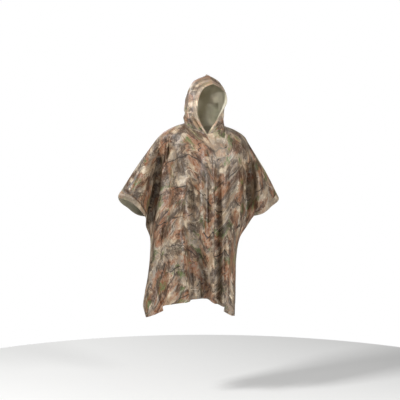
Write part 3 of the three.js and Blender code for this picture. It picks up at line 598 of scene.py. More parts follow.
def edge_point(face: Face, across: Array, down: Array) -> Array:
    """Points of the side edge.

    Args:
        face: Front or back.
        across: Below 0 for the wearer's right edge; the left one elsewhere.
        down: Share of the drop.

    Returns:
        The table's edge. Its cuff bows away from the line between its ends as half a sine, and the vent of
        the back spreads.
    """
    cuff = np.clip(down / CUFF_END, 0, 1)
    bow = np.sin(math.pi * cuff)
    sag = np.sin(math.pi * cuff ** (1.25 if face is Face.FRONT else 1.0))
    vent = smooth((down - VENT_START) / (1 - VENT_START))

    def read(side: Side) -> Array:
        """The edge of one side.

        Args:
            side: The wearer's side.

        Returns:
            Its points.
        """
        out = face.value * CUFF_BOW * bow + (VENT_SPREAD * vent if face is Face.BACK else 0)
        table = EDGE[side]
        lift = CUFF_LIFT[side, face] * sag
        return np.stack([table.at("x", down), table.at("y", down) + out, table.at("z", down) + lift], -1)

    return by_side(across, read)


def fold_depth(face: Face, x: Array, down: Array) -> Array:
    """How far the large folds move the cloth out.

    Args:
        face: Front or back.
        x: Where a point is seen from the front, in millimetres.
        down: Share of the drop.

    Returns:
        The sum of the folds. Each is even over its floor and eases to nothing over its rise.
    """
    total = np.zeros(np.broadcast_shapes(x.shape, down.shape))
    for fold in FOLDS[face]:
        share = np.clip((down - fold.start) / (1 - fold.start), 0, 1)
        fades = smooth((down - fold.start) / FOLD_FADE)
        fades = fades * (1 - smooth((down - fold.end + FOLD_FADE) / FOLD_FADE))
        middle = mix(mix(fold.x[0], fold.x[1], share), mix(fold.x[1], fold.x[2], share), share)
        reach = 1 - smooth((np.abs(x - middle) - mix(*fold.floor, share)) / mix(*fold.rise, share))
        total = total + mix(*fold.depth, share) * reach * fades
    return total


def drop(down: Array, over: Array) -> Array:
    """The share of the height that a share of the cloth's length reaches.

    Args:
        down: Share of the length.
        over: The share over which the cloth turns from level to straight down.

    Returns:
        A quarter of a cosine, and from its end on a straight line.
    """
    level = 2 * over / math.pi
    start = level * (1 - np.cos(math.pi * down / (2 * over)))
    return np.where(down >= over, level + down - over, start) / (level + 1 - over)


def panel_point(face: Face, across: Array, down: Array) -> Array:
    """Points of a panel.

    Args:
        face: Front or back.
        across: From the wearer's right edge (-1) to the left edge (1).
        down: Share of the drop, from the shoulder line to the hem.

    Returns:
        A ring section of the body between two side lines, with its folds, and beyond it the sleeve, which
        blends from the body's side line to the side edge.
    """
    across, down = np.broadcast_arrays(across, down)
    table = SECTIONS[face]
    beyond = np.clip((np.abs(across) - BODY_SHARE) / (1 - BODY_SHARE), 0, 1)
    share = np.clip(across / BODY_SHARE, -1, 1)
    sign = np.where(across < 0, -1.0, 1.0)
    top = top_edge(face, across)

    right = np.stack([table.at("right_x", down), table.at("right_y", down)], -1)
    left = np.stack([table.at("left_x", down), table.at("left_y", down)], -1)
    turn = math.pi / 2 * (share + table.at("skew", down) * (1 - share**2))
    chord = ((1 + mix(share, np.sin(turn), RING_ROUND)) / 2)[..., None]
    span = left - right
    outward = unit(np.stack([-face.value * span[..., 1], face.value * span[..., 0]], -1))
    bulge = table.at("bulge", down) * np.cos(turn)
    seen_x = mix(right, left, chord)[..., 0] + outward[..., 0] * bulge
    out = bulge + fold_depth(face, seen_x, down) * (1 - beyond)
    body = mix(right, left, chord) + outward * out[..., None]
    over = mix(0.2, 0.1, smooth((np.abs(across) - NECK_SHARE) / (1 - NECK_SHARE)))
    body_top = np.where((beyond > 0)[..., None], top_edge(face, sign * BODY_SHARE), top)
    z = mix(body_top[..., 2], HEM[face].at("z", share), drop(down, over))

    edge = edge_point(face, across, down)
    at_seam = smooth((down - CUFF_END + 0.06) / 0.2)
    out_x = mix(beyond, np.sin(math.pi / 2 * beyond), at_seam)
    out_y = mix(beyond, 1 - np.sqrt(1 - 0.999 * beyond**2), 0.6 * at_seam)
    puff = np.sin(math.pi * np.clip(down / (CUFF_END + 0.1), 0, 1)) * smooth(beyond / 0.55)
    puff = puff * mix(1, 0.15, smooth((beyond - 0.8) / 0.2))
    line = shoulder_point(across, mix(HALF_BODY, HALF_CUT, beyond))
    line_end = edge_point(face, across, np.zeros_like(down))
    fade = 1 - smooth(down / 0.35)
    on_sleeve = beyond > 0
    x = mix(body[..., 0], edge[..., 0], out_x)
    x = x + np.where(on_sleeve, (line[..., 0] - mix(body_top[..., 0], line_end[..., 0], beyond)) * fade, 0)
    y = mix(body[..., 1], edge[..., 1], out_y) + face.value * SLEEVE_PUFF * puff
    z_out = mix(z, edge[..., 2], beyond)
    z_out = z_out + (line[..., 2] - mix(body_top[..., 2], line_end[..., 2], beyond)) * fade
    z = np.where(on_sleeve, z_out, z)
    ease = np.clip(down / over, 0, 1)
    y_share = np.sin(math.pi / 2 * ease)
    return np.stack([mix(top[..., 0], x, smooth(ease)), mix(top[..., 1], y, y_share), z], -1)


def lines(start: float, *stretches: tuple[float, int]) -> Array:
    """Places of grid lines.

    Args:
        start: The first line.
        stretches: Each runs on to a place in a number of equal steps.

    Returns:
        All places in order.
    """
    places = [start]
    for end, steps in stretches:
        places += list(np.linspace(places[-1], end, steps + 1)[1:])
    return np.array(places)


def grid_normals(points: Array, facing: int) -> Array:
    """Unit normals of a grid of points, on the side that facing tells."""
    return unit(np.cross(np.gradient(points, axis=0), np.gradient(points, axis=1))) * facing


def cloth_lengths(points: Array, middle: int) -> Array:
    """Flat coordinates of a grid of cloth.

    Args:
        points: The grid.
        middle: The column where they start.

    Returns:
        The lengths along its rows from the middle column, and down its columns.
    """
    across = np.linalg.norm(np.diff(points, axis=0, prepend=points[:1]), axis=-1).cumsum(0)
    down = np.linalg.norm(np.diff(points, axis=1, prepend=points[:, :1]), axis=-1).cumsum(1)
    return np.stack([across - across[middle], -down], -1)


def spline(path: tuple[tuple[float, float], ...], steps: int = 8) -> Array:
    """Points of a Catmull-Rom curve.

    Args:
        path: Points that it passes through.
        steps: How many points each span gets.

    Returns:
        The curve's points.
    """
    knots = np.array([path[0], *path, path[-1]], dtype=float)
    u = np.linspace(0, 1, steps, endpoint=False)[:, None]
    spans = []
    for a, b, c, d in zip(knots, knots[1:], knots[2:], knots[3:]):
        linear, square, cube = c - a, 2 * a - 5 * b + 4 * c - d, 3 * b - a - 3 * c + d
        spans.append(0.5 * (2 * b + linear * u + square * u**2 + cube * u**3))
    return np.concatenate([*spans, knots[-1:]])


def crease_height(creases: tuple[Crease, ...], seen: Array) -> Array:
    """The height of creases.

    Args:
        creases: The creases.
        seen: Places (x, z) on the picture plane.

    Returns:
        Their sum. Each falls away from its line as exp(-d to the power 1.5), or 1.1 if it is crisp, where d
        is the distance over the width. It fades in over the first 0.3 of its line, and out over the last 0.3
        unless it runs on to the hem.
    """
    total = np.zeros(seen.shape[:-1])
    for crease in creases:
        curve = spline(crease.path)
        reach = 3.2 * crease.width
        low, high = curve.min(0) - reach, curve.max(0) + reach
        near = np.all((seen > low) & (seen < high), axis=-1)
        place = seen[near]
        if not len(place):
            continue
        starts, steps = curve[:-1], np.diff(curve, axis=0)
        lengths = np.linalg.norm(steps, axis=1)
        offset = place[:, None] - starts
        share = np.clip((offset * steps).sum(-1) / lengths**2, 0, 1)
        away = offset - steps * share[..., None]
        distance = np.linalg.norm(away, axis=-1)
        best = distance.argmin(1)
        rows = np.arange(len(best))
        side = np.sign(away[rows, best, 0])
        run = np.cumsum(lengths) - lengths
        along = (run[best] + share[rows, best] * lengths[best]) / lengths.sum()
        width = crease.width * (1 - 0.55 * crease.lean * side)
        fades = smooth(along / 0.3)
        if crease.path[-1][1] > HEM_REACH:
            fades = fades * smooth((1 - along) / 0.3)
        power = 1.1 if crease.crisp else 1.5
        total[near] += crease.depth * np.exp(-((distance[rows, best] / width) ** power)) * fades
    return total


def scattered(
    seed: int, count: int, low: tuple[float, float], high: tuple[float, float]
) -> tuple[Crease, ...]:
    """Small creases at random places.

    Args:
        seed: The seed of the random numbers.
        count: How many there are.
        low: The least x and z of their tops, in millimetres.
        high: The greatest.

    Returns:
        Mostly upright creases, uneven in length, bend, depth and width.
    """
    random = np.random.default_rng(seed)
    made = []
    for _ in range(count):
        x, z = random.uniform(low, high)
        length = random.uniform(26, 110)
        angle = random.normal(0, 0.42)
        dx, dz = length * math.sin(angle), -length * math.cos(angle)
        bend = random.normal(0, 7)
        path = ((x, z), (x + dx / 2 + bend, z + dz / 2), (x + dx, z + dz))
        depth = random.uniform(0.8, 2.6) * random.choice((-1, 1))
        made.append(Crease(path, depth, random.uniform(3.5, 8), random.uniform(-0.6, 0.6)))
    return tuple(made)


@dataclass
class Sheet:
    """A grid of cloth, in millimetres.

    Args:
        points: The points of its outer side.
        normals: The outward normals there.
        flat: The coordinates on the flat cloth.
        facing: 1 or -1, the sign that turns the grid's own normals outward.
    """

    points: Array
    normals: Array
    flat: Array
    facing: int

    def part(self, columns: slice, rows: slice) -> "Sheet":
        """A stretch of the sheet, between some of its grid lines."""
        area = (columns, rows)
        return Sheet(self.points[area], self.normals[area], self.flat[area], self.facing)


def rolled(sheet: Sheet, rise: float) -> Sheet:
    """A strip of another stretch of cloth, which stands off the cloth below between all four of its edges.

    Args:
        sheet: The cloth below.
        rise: How far it stands off, in millimetres.

    Returns:
        The strip. Its height is half a sine to the power 0.4 across, and evens out to nothing at its ends.
    """
    share = np.linspace(0, 1, sheet.points.shape[0])
    run = np.linspace(0, 1, sheet.points.shape[1])
    ends = np.sqrt(smooth(run / 0.05) * smooth((1 - run) / 0.05))
    lifts = rise * np.sin(math.pi * share)[:, None] ** 0.4 * ends
    points = sheet.points + sheet.normals * lifts[..., None]
    return Sheet(points, grid_normals(points, sheet.facing), sheet.flat + STRIP_SHIFT, sheet.facing)


@dataclass
class Look:
    """The materials of a shell: the outer side with the cut edges, and the inner side."""

    outer: bpy.types.Material
    inner: bpy.types.Material


def make_object(
    name: str, points: Array, quads: Array, materials: list[bpy.types.Material]
) -> bpy.types.Object:
    """Makes a smooth mesh object at the origin, unturned.

    Args:
        name: Its name.
        points: Its points, in millimetres.
        quads: The point numbers of its faces.
        materials: Its materials.

    Returns:
        The object.
    """
    mesh = bpy.data.meshes.new(name)
    mesh.from_pydata((points * MM).tolist(), [], quads.tolist())
    for material in materials:
        mesh.materials.append(material)
    mesh.polygons.foreach_set("use_smooth", np.ones(len(quads), dtype=bool))
    thing = bpy.data.objects.new(name, mesh)
    bpy.context.scene.collection.objects.link(thing)
    return thing


def cloth_shell(
    name: str, sheet: Sheet, lifts: tuple[float, float], look: Look, keep: Array | None = None
) -> bpy.types.Object:
    """Makes a closed thin shell on a sheet.

    Args:
        name: The object's name.
        sheet: The cloth.
        lifts: Distances of the outer and the inner side along the normals.
        look: The materials of both sides.
        keep: Which cells of the grid are cloth; all of them if None.

    Returns:
        The object, with flat cloth coordinates in metres as its UV map.
    """
    columns, rows = sheet.points.shape[:2]
    keep = np.ones((columns - 1, rows - 1), dtype=bool) if keep is None else keep
    points = np.concatenate([(sheet.points + sheet.normals * lift).reshape(-1, 3) for lift in lifts])
    index = np.arange(columns * rows).reshape(columns, rows)
    layer = columns * rows
    a, b, c, d = index[:-1, :-1], index[1:, :-1], index[1:, 1:], index[:-1, 1:]
    cells = np.stack([a, b, c, d], -1)[keep]
    padded = np.pad(keep, 1)
    rims = []
    for ends, shift in (((a, b), (0, -1)), ((b, c), (1, 0)), ((c, d), (0, 1)), ((d, a), (-1, 0))):
        beyond = padded[1 + shift[0] : columns + shift[0], 1 + shift[1] : rows + shift[1]]
        edge = keep & ~beyond
        first, second = ends[0][edge], ends[1][edge]
        rims.append(np.stack([second, first, first + layer, second + layer], -1))
    quads = np.concatenate([cells, cells[:, ::-1] + layer, *rims])
    if sheet.facing < 0:
        quads = quads[:, ::-1]
    used = np.unique(quads)
    renumber = np.zeros(2 * layer, dtype=int)
    renumber[used] = np.arange(len(used))
    thing = make_object(name, points[used], renumber[quads], [look.outer, look.inner])
    slots = np.zeros(len(quads), dtype=np.int32)
    slots[len(cells) : 2 * len(cells)] = 1
    thing.data.polygons.foreach_set("material_index", slots)
    flat = np.tile(sheet.flat.reshape(-1, 2), (2, 1)) * MM
    uv = thing.data.uv_layers.new(name="cloth")
    uv.data.foreach_set("uv", flat[quads].astype(np.float32).ravel())
    thing.data.set_sharp_from_angle(angle=math.radians(55))
    return thing


def at_lengths(values: Array, run: Array, places: Array) -> Array:
    """Reads rows of three values, which lie at some lengths along a path, at other lengths along it."""
    return np.stack([np.interp(places, run, values[:, k]) for k in range(3)], -1)


def dashes(name: str, paths: list[tuple[Array, Array]], material: bpy.types.Material) -> bpy.types.Object:
    """Makes one mesh of stitches along some paths.

    Args:
        name: The object's name.
        paths: For each row of stitches, its points and the normals there, in millimetres.
        material: The thread's material.

    Returns:
        Closed four-sided dashes, half as thick at their ends as in the middle, half sunk in the cloth.
    """
    blocks = []
    for path, normals in paths:
        run = np.concatenate([[0], np.linalg.norm(np.diff(path, axis=0), axis=1).cumsum()])
        starts = np.arange(STITCH_PITCH / 2, run[-1] - STITCH_LENGTH, STITCH_PITCH)
        first, last = at_lengths(path, run, starts), at_lengths(path, run, starts + STITCH_LENGTH)
        up = unit(at_lengths(normals, run, starts))
        side = unit(np.cross(up, unit(last - first)))
        ring = np.stack([side, up, -side, -up], 1) * STITCH_HALF
        middle = (first + last) / 2
        ends = (first[:, None] + ring / 2, last[:, None] + ring / 2, middle[:, None] + ring)
        blocks.append(np.concatenate(ends, 1))
    points = np.concatenate(blocks)
    k = np.arange(4)
    n = (k + 1) % 4
    walls = [np.stack([k, n, 8 + n, 8 + k], -1), np.stack([8 + k, 8 + n, 4 + n, 4 + k], -1)]
    dash = np.concatenate([*walls, [[3, 2, 1, 0], [4, 5, 6, 7]]])
    quads = np.arange(len(points))[:, None, None] * 12 + dash
    return make_object(name, points.reshape(-1, 3), quads.reshape(-1, 4), [material])


@dataclass(frozen=True)
class ClothFinish:
    """Polyester taffeta, woven, printed on its outer side and coated.

    The eye sees a matt print under a thin soft sheen. The shader keeps its usual IOR of 1.5, which is near to
    polyester's.
    """

    base: str = "998167"
    light: str = "D1C0A6"
    grey: str = "8F857A"
    rust: str = "874E27"
    brown: str = "38271C"
    green: str = "5E6B3C"
    twig: str = "2B221C"
    reed: str = "D6C9B2"
    rough: float = 0.5
    coat: float = 0.05
    coat_rough: float = 0.3


@dataclass(frozen=True)
class CoatingFinish:
    """The coated inner side of the same cloth: plain, pale olive and dull, slightly clouded by wear."""

    base: str = "C8C2AE"
    shade: str = "ADA58D"
    rough: float = 0.5


@dataclass(frozen=True)
class MetalFinish:
    """Stamped brass, oxidised dark and rubbed brighter where cords and fingers touch it."""

    base: str = "6E6658"
    worn: str = "9C8B68"
    rough: float = 0.38
    metallic: float = 0.9


@dataclass(frozen=True)
class ThreadFinish:
    """Spun polyester sewing thread: dull, with a fine twist of two plies."""

    base: str = "6F6350"
    light: str = "8B7D66"
    rough: float = 0.7


def linear(code: str) -> tuple[float, float, float, float]:
    """A linear colour from an sRGB hex code."""
    parts = [int(code[i : i + 2], 16) / 255 for i in (0, 2, 4)]
    return (*[p / 12.92 if p <= 0.04045 else ((p + 0.055) / 1.055) ** 2.4 for p in parts], 1.0)


@dataclass(frozen=True)
class Mask:
    """A pattern's value, cut softly between two limits and brought to another range.

    Args:
        pattern: The value.
        low: The value that becomes the start.
        high: The value that becomes the end.
        start: The share at the low limit.
        end: The share at the high limit.
    """

    pattern: Socket
    low: float
    high: float
    start: float = 0.0
    end: float = 1.0


Layer = tuple[str, Socket | float, tuple[Mask, ...]]


@dataclass
class Paint:
    """A material's node tree, built step by step.

    Args:
        name: The material's name.
    """

    name: str

    def __post_init__(self) -> None:
        """Starts with an empty tree."""
        self.material = bpy.data.materials.new(self.name)
        self.material.use_nodes = True
        self.tree = self.material.node_tree
        self.tree.nodes.clear()

    def add(
        self, kind: str, inputs: dict | None = None, output: int | str = 0, **settings: object
    ) -> Socket | None:
        """Adds a node with its settings and links.

        Args:
            kind: The node's type.
            inputs: By name or index, a socket, a plain value, or a colour as a hex code.
            output: The output that the next node reads.
            settings: Its properties.

        Returns:
            That output, or None at the end of the tree.
        """
        node = self.tree.nodes.new(kind)
        for key, value in settings.items():
            setattr(node, key, value)
        for key, value in (inputs or {}).items():
            if isinstance(value, Socket):
                self.tree.links.new(value, node.inputs[key])
            else:
                node.inputs[key].default_value = linear(value) if isinstance(value, str) else value
        return node.outputs[output] if len(node.outputs) else None

    def clouds(
        self,
        place: Socket,
        size: float,
        detail: float = 3.0,
        rough: float = 0.55,
        bend: float = 0.0,
        **moved: Triple,
    ) -> Socket:
        """Makes cloudy noise, on a place that is first moved.

        Args:
            place: The place.
            size: About how large its features are, in millimetres.
            detail: How many finer layers it has.
            rough: How strong these are.
            bend: How far it is distorted.
            moved: Location, Rotation and Scale of the move.

        Returns:
            Its value, from 0 to 1.
        """
        vector = self.add("ShaderNodeMapping", {"Vector": place} | moved)
        inputs = {"Vector": vector, "Scale": 1 / (size * MM), "Detail": detail}
        inputs |= {"Roughness": rough, "Distortion": bend}
        return self.add("ShaderNodeTexNoise", inputs, "Fac")

    def shaken(self, place: Socket, size: float, amount: float, **moved: Triple) -> Socket:
        """Shakes a place that is first moved.

        Args:
            place: The place.
            size: The size of the noise that shakes it, in millimetres.
            amount: How far it moves at most, in millimetres.
            moved: Location, Rotation and Scale of the move.

        Returns:
            The place plus twice the amount times the noise's colour less a half.
        """
        vector = self.add("ShaderNodeMapping", {"Vector": place} | moved)
        inputs = {"Vector": vector, "Scale": 1 / (size * MM), "Detail": 3.0}
        shake = self.add("ShaderNodeTexNoise", inputs, "Color")
        steps = (
            ("SUBTRACT", {1: (0.5, 0.5, 0.5)}),
            ("SCALE", {"Scale": 2 * amount * MM}),
            ("ADD", {1: vector}),
        )
        for operation, values in steps:
            shake = self.add("ShaderNodeVectorMath", {0: shake} | values, operation=operation)
        return shake

    def shown(self, masks: tuple[Mask, ...], share: Socket | float) -> Socket | float:
        """How strongly something shows through masks.

        Args:
            masks: The masks.
            share: How strong it is without them.

        Returns:
            The product of the share and the masks.
        """
        for mask in masks:
            inputs = {"Value": mask.pattern, "From Min": mask.low, "From Max": mask.high}
            inputs |= {"To Min": mask.start, "To Max": mask.end}
            cut = self.add("ShaderNodeMapRange", inputs, interpolation_type="SMOOTHSTEP")
            share = self.add("ShaderNodeMath", {0: cut, 1: share}, operation="MULTIPLY")
        return share

    def layered(self, base: str, layers: tuple[Layer, ...]) -> Socket:
        """Lays colours over one another.

        Args:
            base: The lowest colour, as a hex code.
            layers: For each one its colour, how strong it is, and the masks that it shows through.

        Returns:
            The colour.
        """
        colour = base
        for shade, share, masks in layers:
            inputs = {0: self.shown(masks, share), 6: colour, 7: shade}
            colour = self.add("ShaderNodeMix", inputs, 2, data_type="RGBA")
        return colour

    def finish(self, colour: Socket, normal: Socket | None = None, **values: float) -> bpy.types.Material:
        """Dresses the shader and ends the tree.

        Args:
            colour: The colour.
            normal: The bump.
            values: Plain values of the shader's inputs.

        Returns:
            The material.
        """
        inputs = {key.replace("_", " ").title(): value for key, value in values.items()}
        inputs |= {"Base Color": colour} if normal is None else {"Base Color": colour, "Normal": normal}
        shader = self.add("ShaderNodeBsdfPrincipled", inputs)
        self.add("ShaderNodeOutputMaterial", {"Surface": shader})
        return self.material


def crumple(paint: Paint, place: Socket, strength: float) -> Socket:
    """The fine crumple of thin coated cloth, and its weave.

    Args:
        paint: The material.
        place: The place on the cloth.
        strength: The strength of the crumple.

    Returns:
        The normal.
    """
    # Creases of 20 to 30 mm, longer down the cloth than across it
    soft = paint.clouds(place, 26, detail=2.0, bend=0.6, Scale=(1.0, 0.45, 1.0))
    inputs = {"Vector": paint.shaken(place, 30, 9, Scale=(1.0, 0.6, 1.0)), "Scale": 1 / (21 * MM)}
    sharp = paint.add("ShaderNodeTexVoronoi", inputs, "Distance", feature="SMOOTH_F1")
    both = paint.add("ShaderNodeMath", {0: sharp, 1: 0.55, 2: soft}, operation="MULTIPLY_ADD")
    low = paint.add("ShaderNodeBump", {"Height": both, "Distance": 2.2 * MM, "Strength": strength})
    # Taffeta has a thread each 0.1 mm, which is too fine to show, so it is drawn at 0.45 mm
    thread = paint.add("ShaderNodeTexChecker", {"Vector": place, "Scale": 1 / (0.45 * MM)}, "Fac")
    inputs = {"Height": thread, "Distance": 0.03 * MM, "Strength": 0.25, "Normal": low}
    return paint.add("ShaderNodeBump", inputs)


def camouflage(finish: ClothFinish, name: str, painted_highlight: float = 0.0) -> bpy.types.Material:
    """A generic woodland mottle: soft patches of 60 to 125 mm, streaked bark, leaf litter, reeds and twigs.

    Args:
        finish: Its colours and gloss.
        name: The material's name.
        painted_highlight: How far all of it is mixed towards the light colour: a painted highlight that makes
            proud hems, patches and the flap look lit.

    Returns:
        The material.
    """
    paint = Paint(name)
    place = paint.add("ShaderNodeUVMap", uv_map="cloth")
    wavy = paint.shaken(place, 60, 20)
    fallen = paint.shaken(place, 14, 8, Scale=(1.0, 0.6, 1.0), Rotation=(0.0, 0.0, 0.4))
    litter = paint.clouds(fallen, 11, 5.0, 0.7)
    fine = paint.clouds(paint.shaken(place, 9, 4), 5.5, 4.0, 0.7)
    streaky = paint.clouds(paint.shaken(place, 80, 26), 7, 5.0, 0.7, Scale=(1.0, 0.16, 1.0))

    def area(x: float, y: float, size: float, low: float, high: float) -> Mask:
        """Where broad soft patches lie."""
        return Mask(paint.clouds(wavy, size, 4.0, 0.6, Location=(x, y, 0.0)), low, high)

    def strokes(size: float, turn: float, by: Triple, thin: float, low: float) -> tuple[Mask, Mask]:
        """Draws long bent lines in broken lengths.

        Args:
            size: About how far apart they are, in millimetres.
            turn: Their turn, in radians.
            by: How far the pattern is moved.
            thin: Their width as a share of that distance.
            low: The greater, the shorter the lengths are.

        Returns:
            The masks of the lines and of their lengths.
        """
        vector = paint.shaken(place, 260, size * 0.55, Location=by, Rotation=(0.0, 0.0, turn))
        inputs = {"Vector": vector, "Scale": math.pi / (10 * size * MM), "Distortion": 0.6, "Detail": 2.0}
        wave = paint.add("ShaderNodeTexWave", inputs, "Fac", bands_direction="Y")
        lengths = paint.clouds(place, 120, detail=1.0, Location=by)
        return Mask(wave, 1 - thin, 1 - thin * 0.3), Mask(lengths, low, low + 0.05)

    bark = area(3.1, 0.7, 85, 0.42, 0.54)
    large = paint.shown(strokes(150, 0.12, (2.2, 4.4, 0), 0.006, 0.45), 0.9)
    small = paint.shown(strokes(95, -0.9, (8.1, 1.3, 0), 0.008, 0.52), 0.9)
    branches = paint.add("ShaderNodeMath", {0: large, 1: small}, operation="MAXIMUM")
    layers = (
        (finish.light, 1.0, (Mask(paint.clouds(wavy, 58, 7.0, 0.66), 0.44, 0.63),)),
        (finish.grey, 1.0, (bark, Mask(streaky, 0.4, 0.58))),
        (finish.brown, 0.6, (bark, Mask(streaky, 0.44, 0.36))),
        (finish.rust, 1.0, (area(7.3, 2.9, 125, 0.48, 0.55), Mask(litter, 0.36, 0.62, 1.0, 0.3))),
        (finish.green, 1.0, (area(5.5, 5.1, 84, 0.57, 0.63), Mask(litter, 0.36, 0.58))),
        (finish.brown, 0.8, (area(1.7, 9.2, 72, 0.47, 0.55), Mask(litter, 0.7, 0.46))),
        (finish.brown, 0.85, (Mask(litter, 0.42, 0.32),)),
        (finish.twig, 0.5, (Mask(fine, 0.43, 0.33),)),
        (finish.reed, 0.36, (Mask(fine, 0.58, 0.68),)),
        (finish.twig, branches, ()),
        (finish.twig, 0.6, strokes(40, 1.2, (0.4, 6.6, 0), 0.012, 0.52)),
        (finish.reed, 0.6, strokes(120, -0.5, (6.1, 7.7, 0), 0.0025, 0.53)),
        # Painted highlight: the whole print is mixed towards the light colour, so that proud hems, patches
        # and the throat flap look lit
        (finish.light, painted_highlight, ()),
    )
    values = {"roughness": finish.rough, "coat_weight": finish.coat, "coat_roughness": finish.coat_rough}
    return paint.finish(paint.layered(finish.base, layers), crumple(paint, place, 0.4), **values)


def coating(finish: CoatingFinish) -> bpy.types.Material:
    """The plain inner side: an even coating, clouded over about 70 mm.

    Args:
        finish: Its colours and gloss.

    Returns:
        The material.
    """
    paint = Paint("inner_coating")
    place = paint.add("ShaderNodeUVMap", uv_map="cloth")
    cloud = Mask(paint.clouds(place, 70, 4.0), 0.35, 0.65)
    colour = paint.layered(finish.base, ((finish.shade, 0.6, (cloud,)),))
    return paint.finish(colour, crumple(paint, place, 0.3), roughness=finish.rough)


def metal(finish: MetalFinish) -> bpy.types.Material:
    """Oxidised brass, rubbed brighter in spots of about 3.5 mm.

    Args:
        finish: Its colours and gloss.

    Returns:
        The material.
    """
    paint = Paint("eyelet_brass")
    place = paint.add("ShaderNodeTexCoord", output="Object")
    rubbed = Mask(paint.clouds(place, 3.5, 4.0), 0.48, 0.62)
    colour = paint.layered(finish.base, ((finish.worn, 1.0, (rubbed,)),))
    inputs = {"Height": paint.clouds(place, 0.8, 2.0), "Distance": 0.05 * MM, "Strength": 0.3}
    normal = paint.add("ShaderNodeBump", inputs)
    return paint.finish(colour, normal, roughness=finish.rough, metallic=finish.metallic)


def thread_look(finish: ThreadFinish) -> bpy.types.Material:
    """Sewing thread, with a twist of 0.6 mm.

    Args:
        finish: Its colours and gloss.

    Returns:
        The material.
    """
    paint = Paint("sewing_thread")
    place = paint.add("ShaderNodeTexCoord", output="Object")
    ply = paint.clouds(place, 0.6, 2.0, Scale=(1.0, 1.0, 2.0))
    colour = paint.layered(finish.base, ((finish.light, 1.0, (Mask(ply, 0.4, 0.6),)),))
    normal = paint.add("ShaderNodeBump", {"Height": ply, "Distance": 0.08 * MM, "Strength": 0.4})
    return paint.finish(colour, normal, roughness=finish.rough)


@dataclass
class Wardrobe:
    """The finishes that the garment's pieces share."""

    cloth: Look
    # The hems, patches and throat flap, with a painted highlight over their print
    hem: Look
    brass: bpy.types.Material
    thread: bpy.types.Material


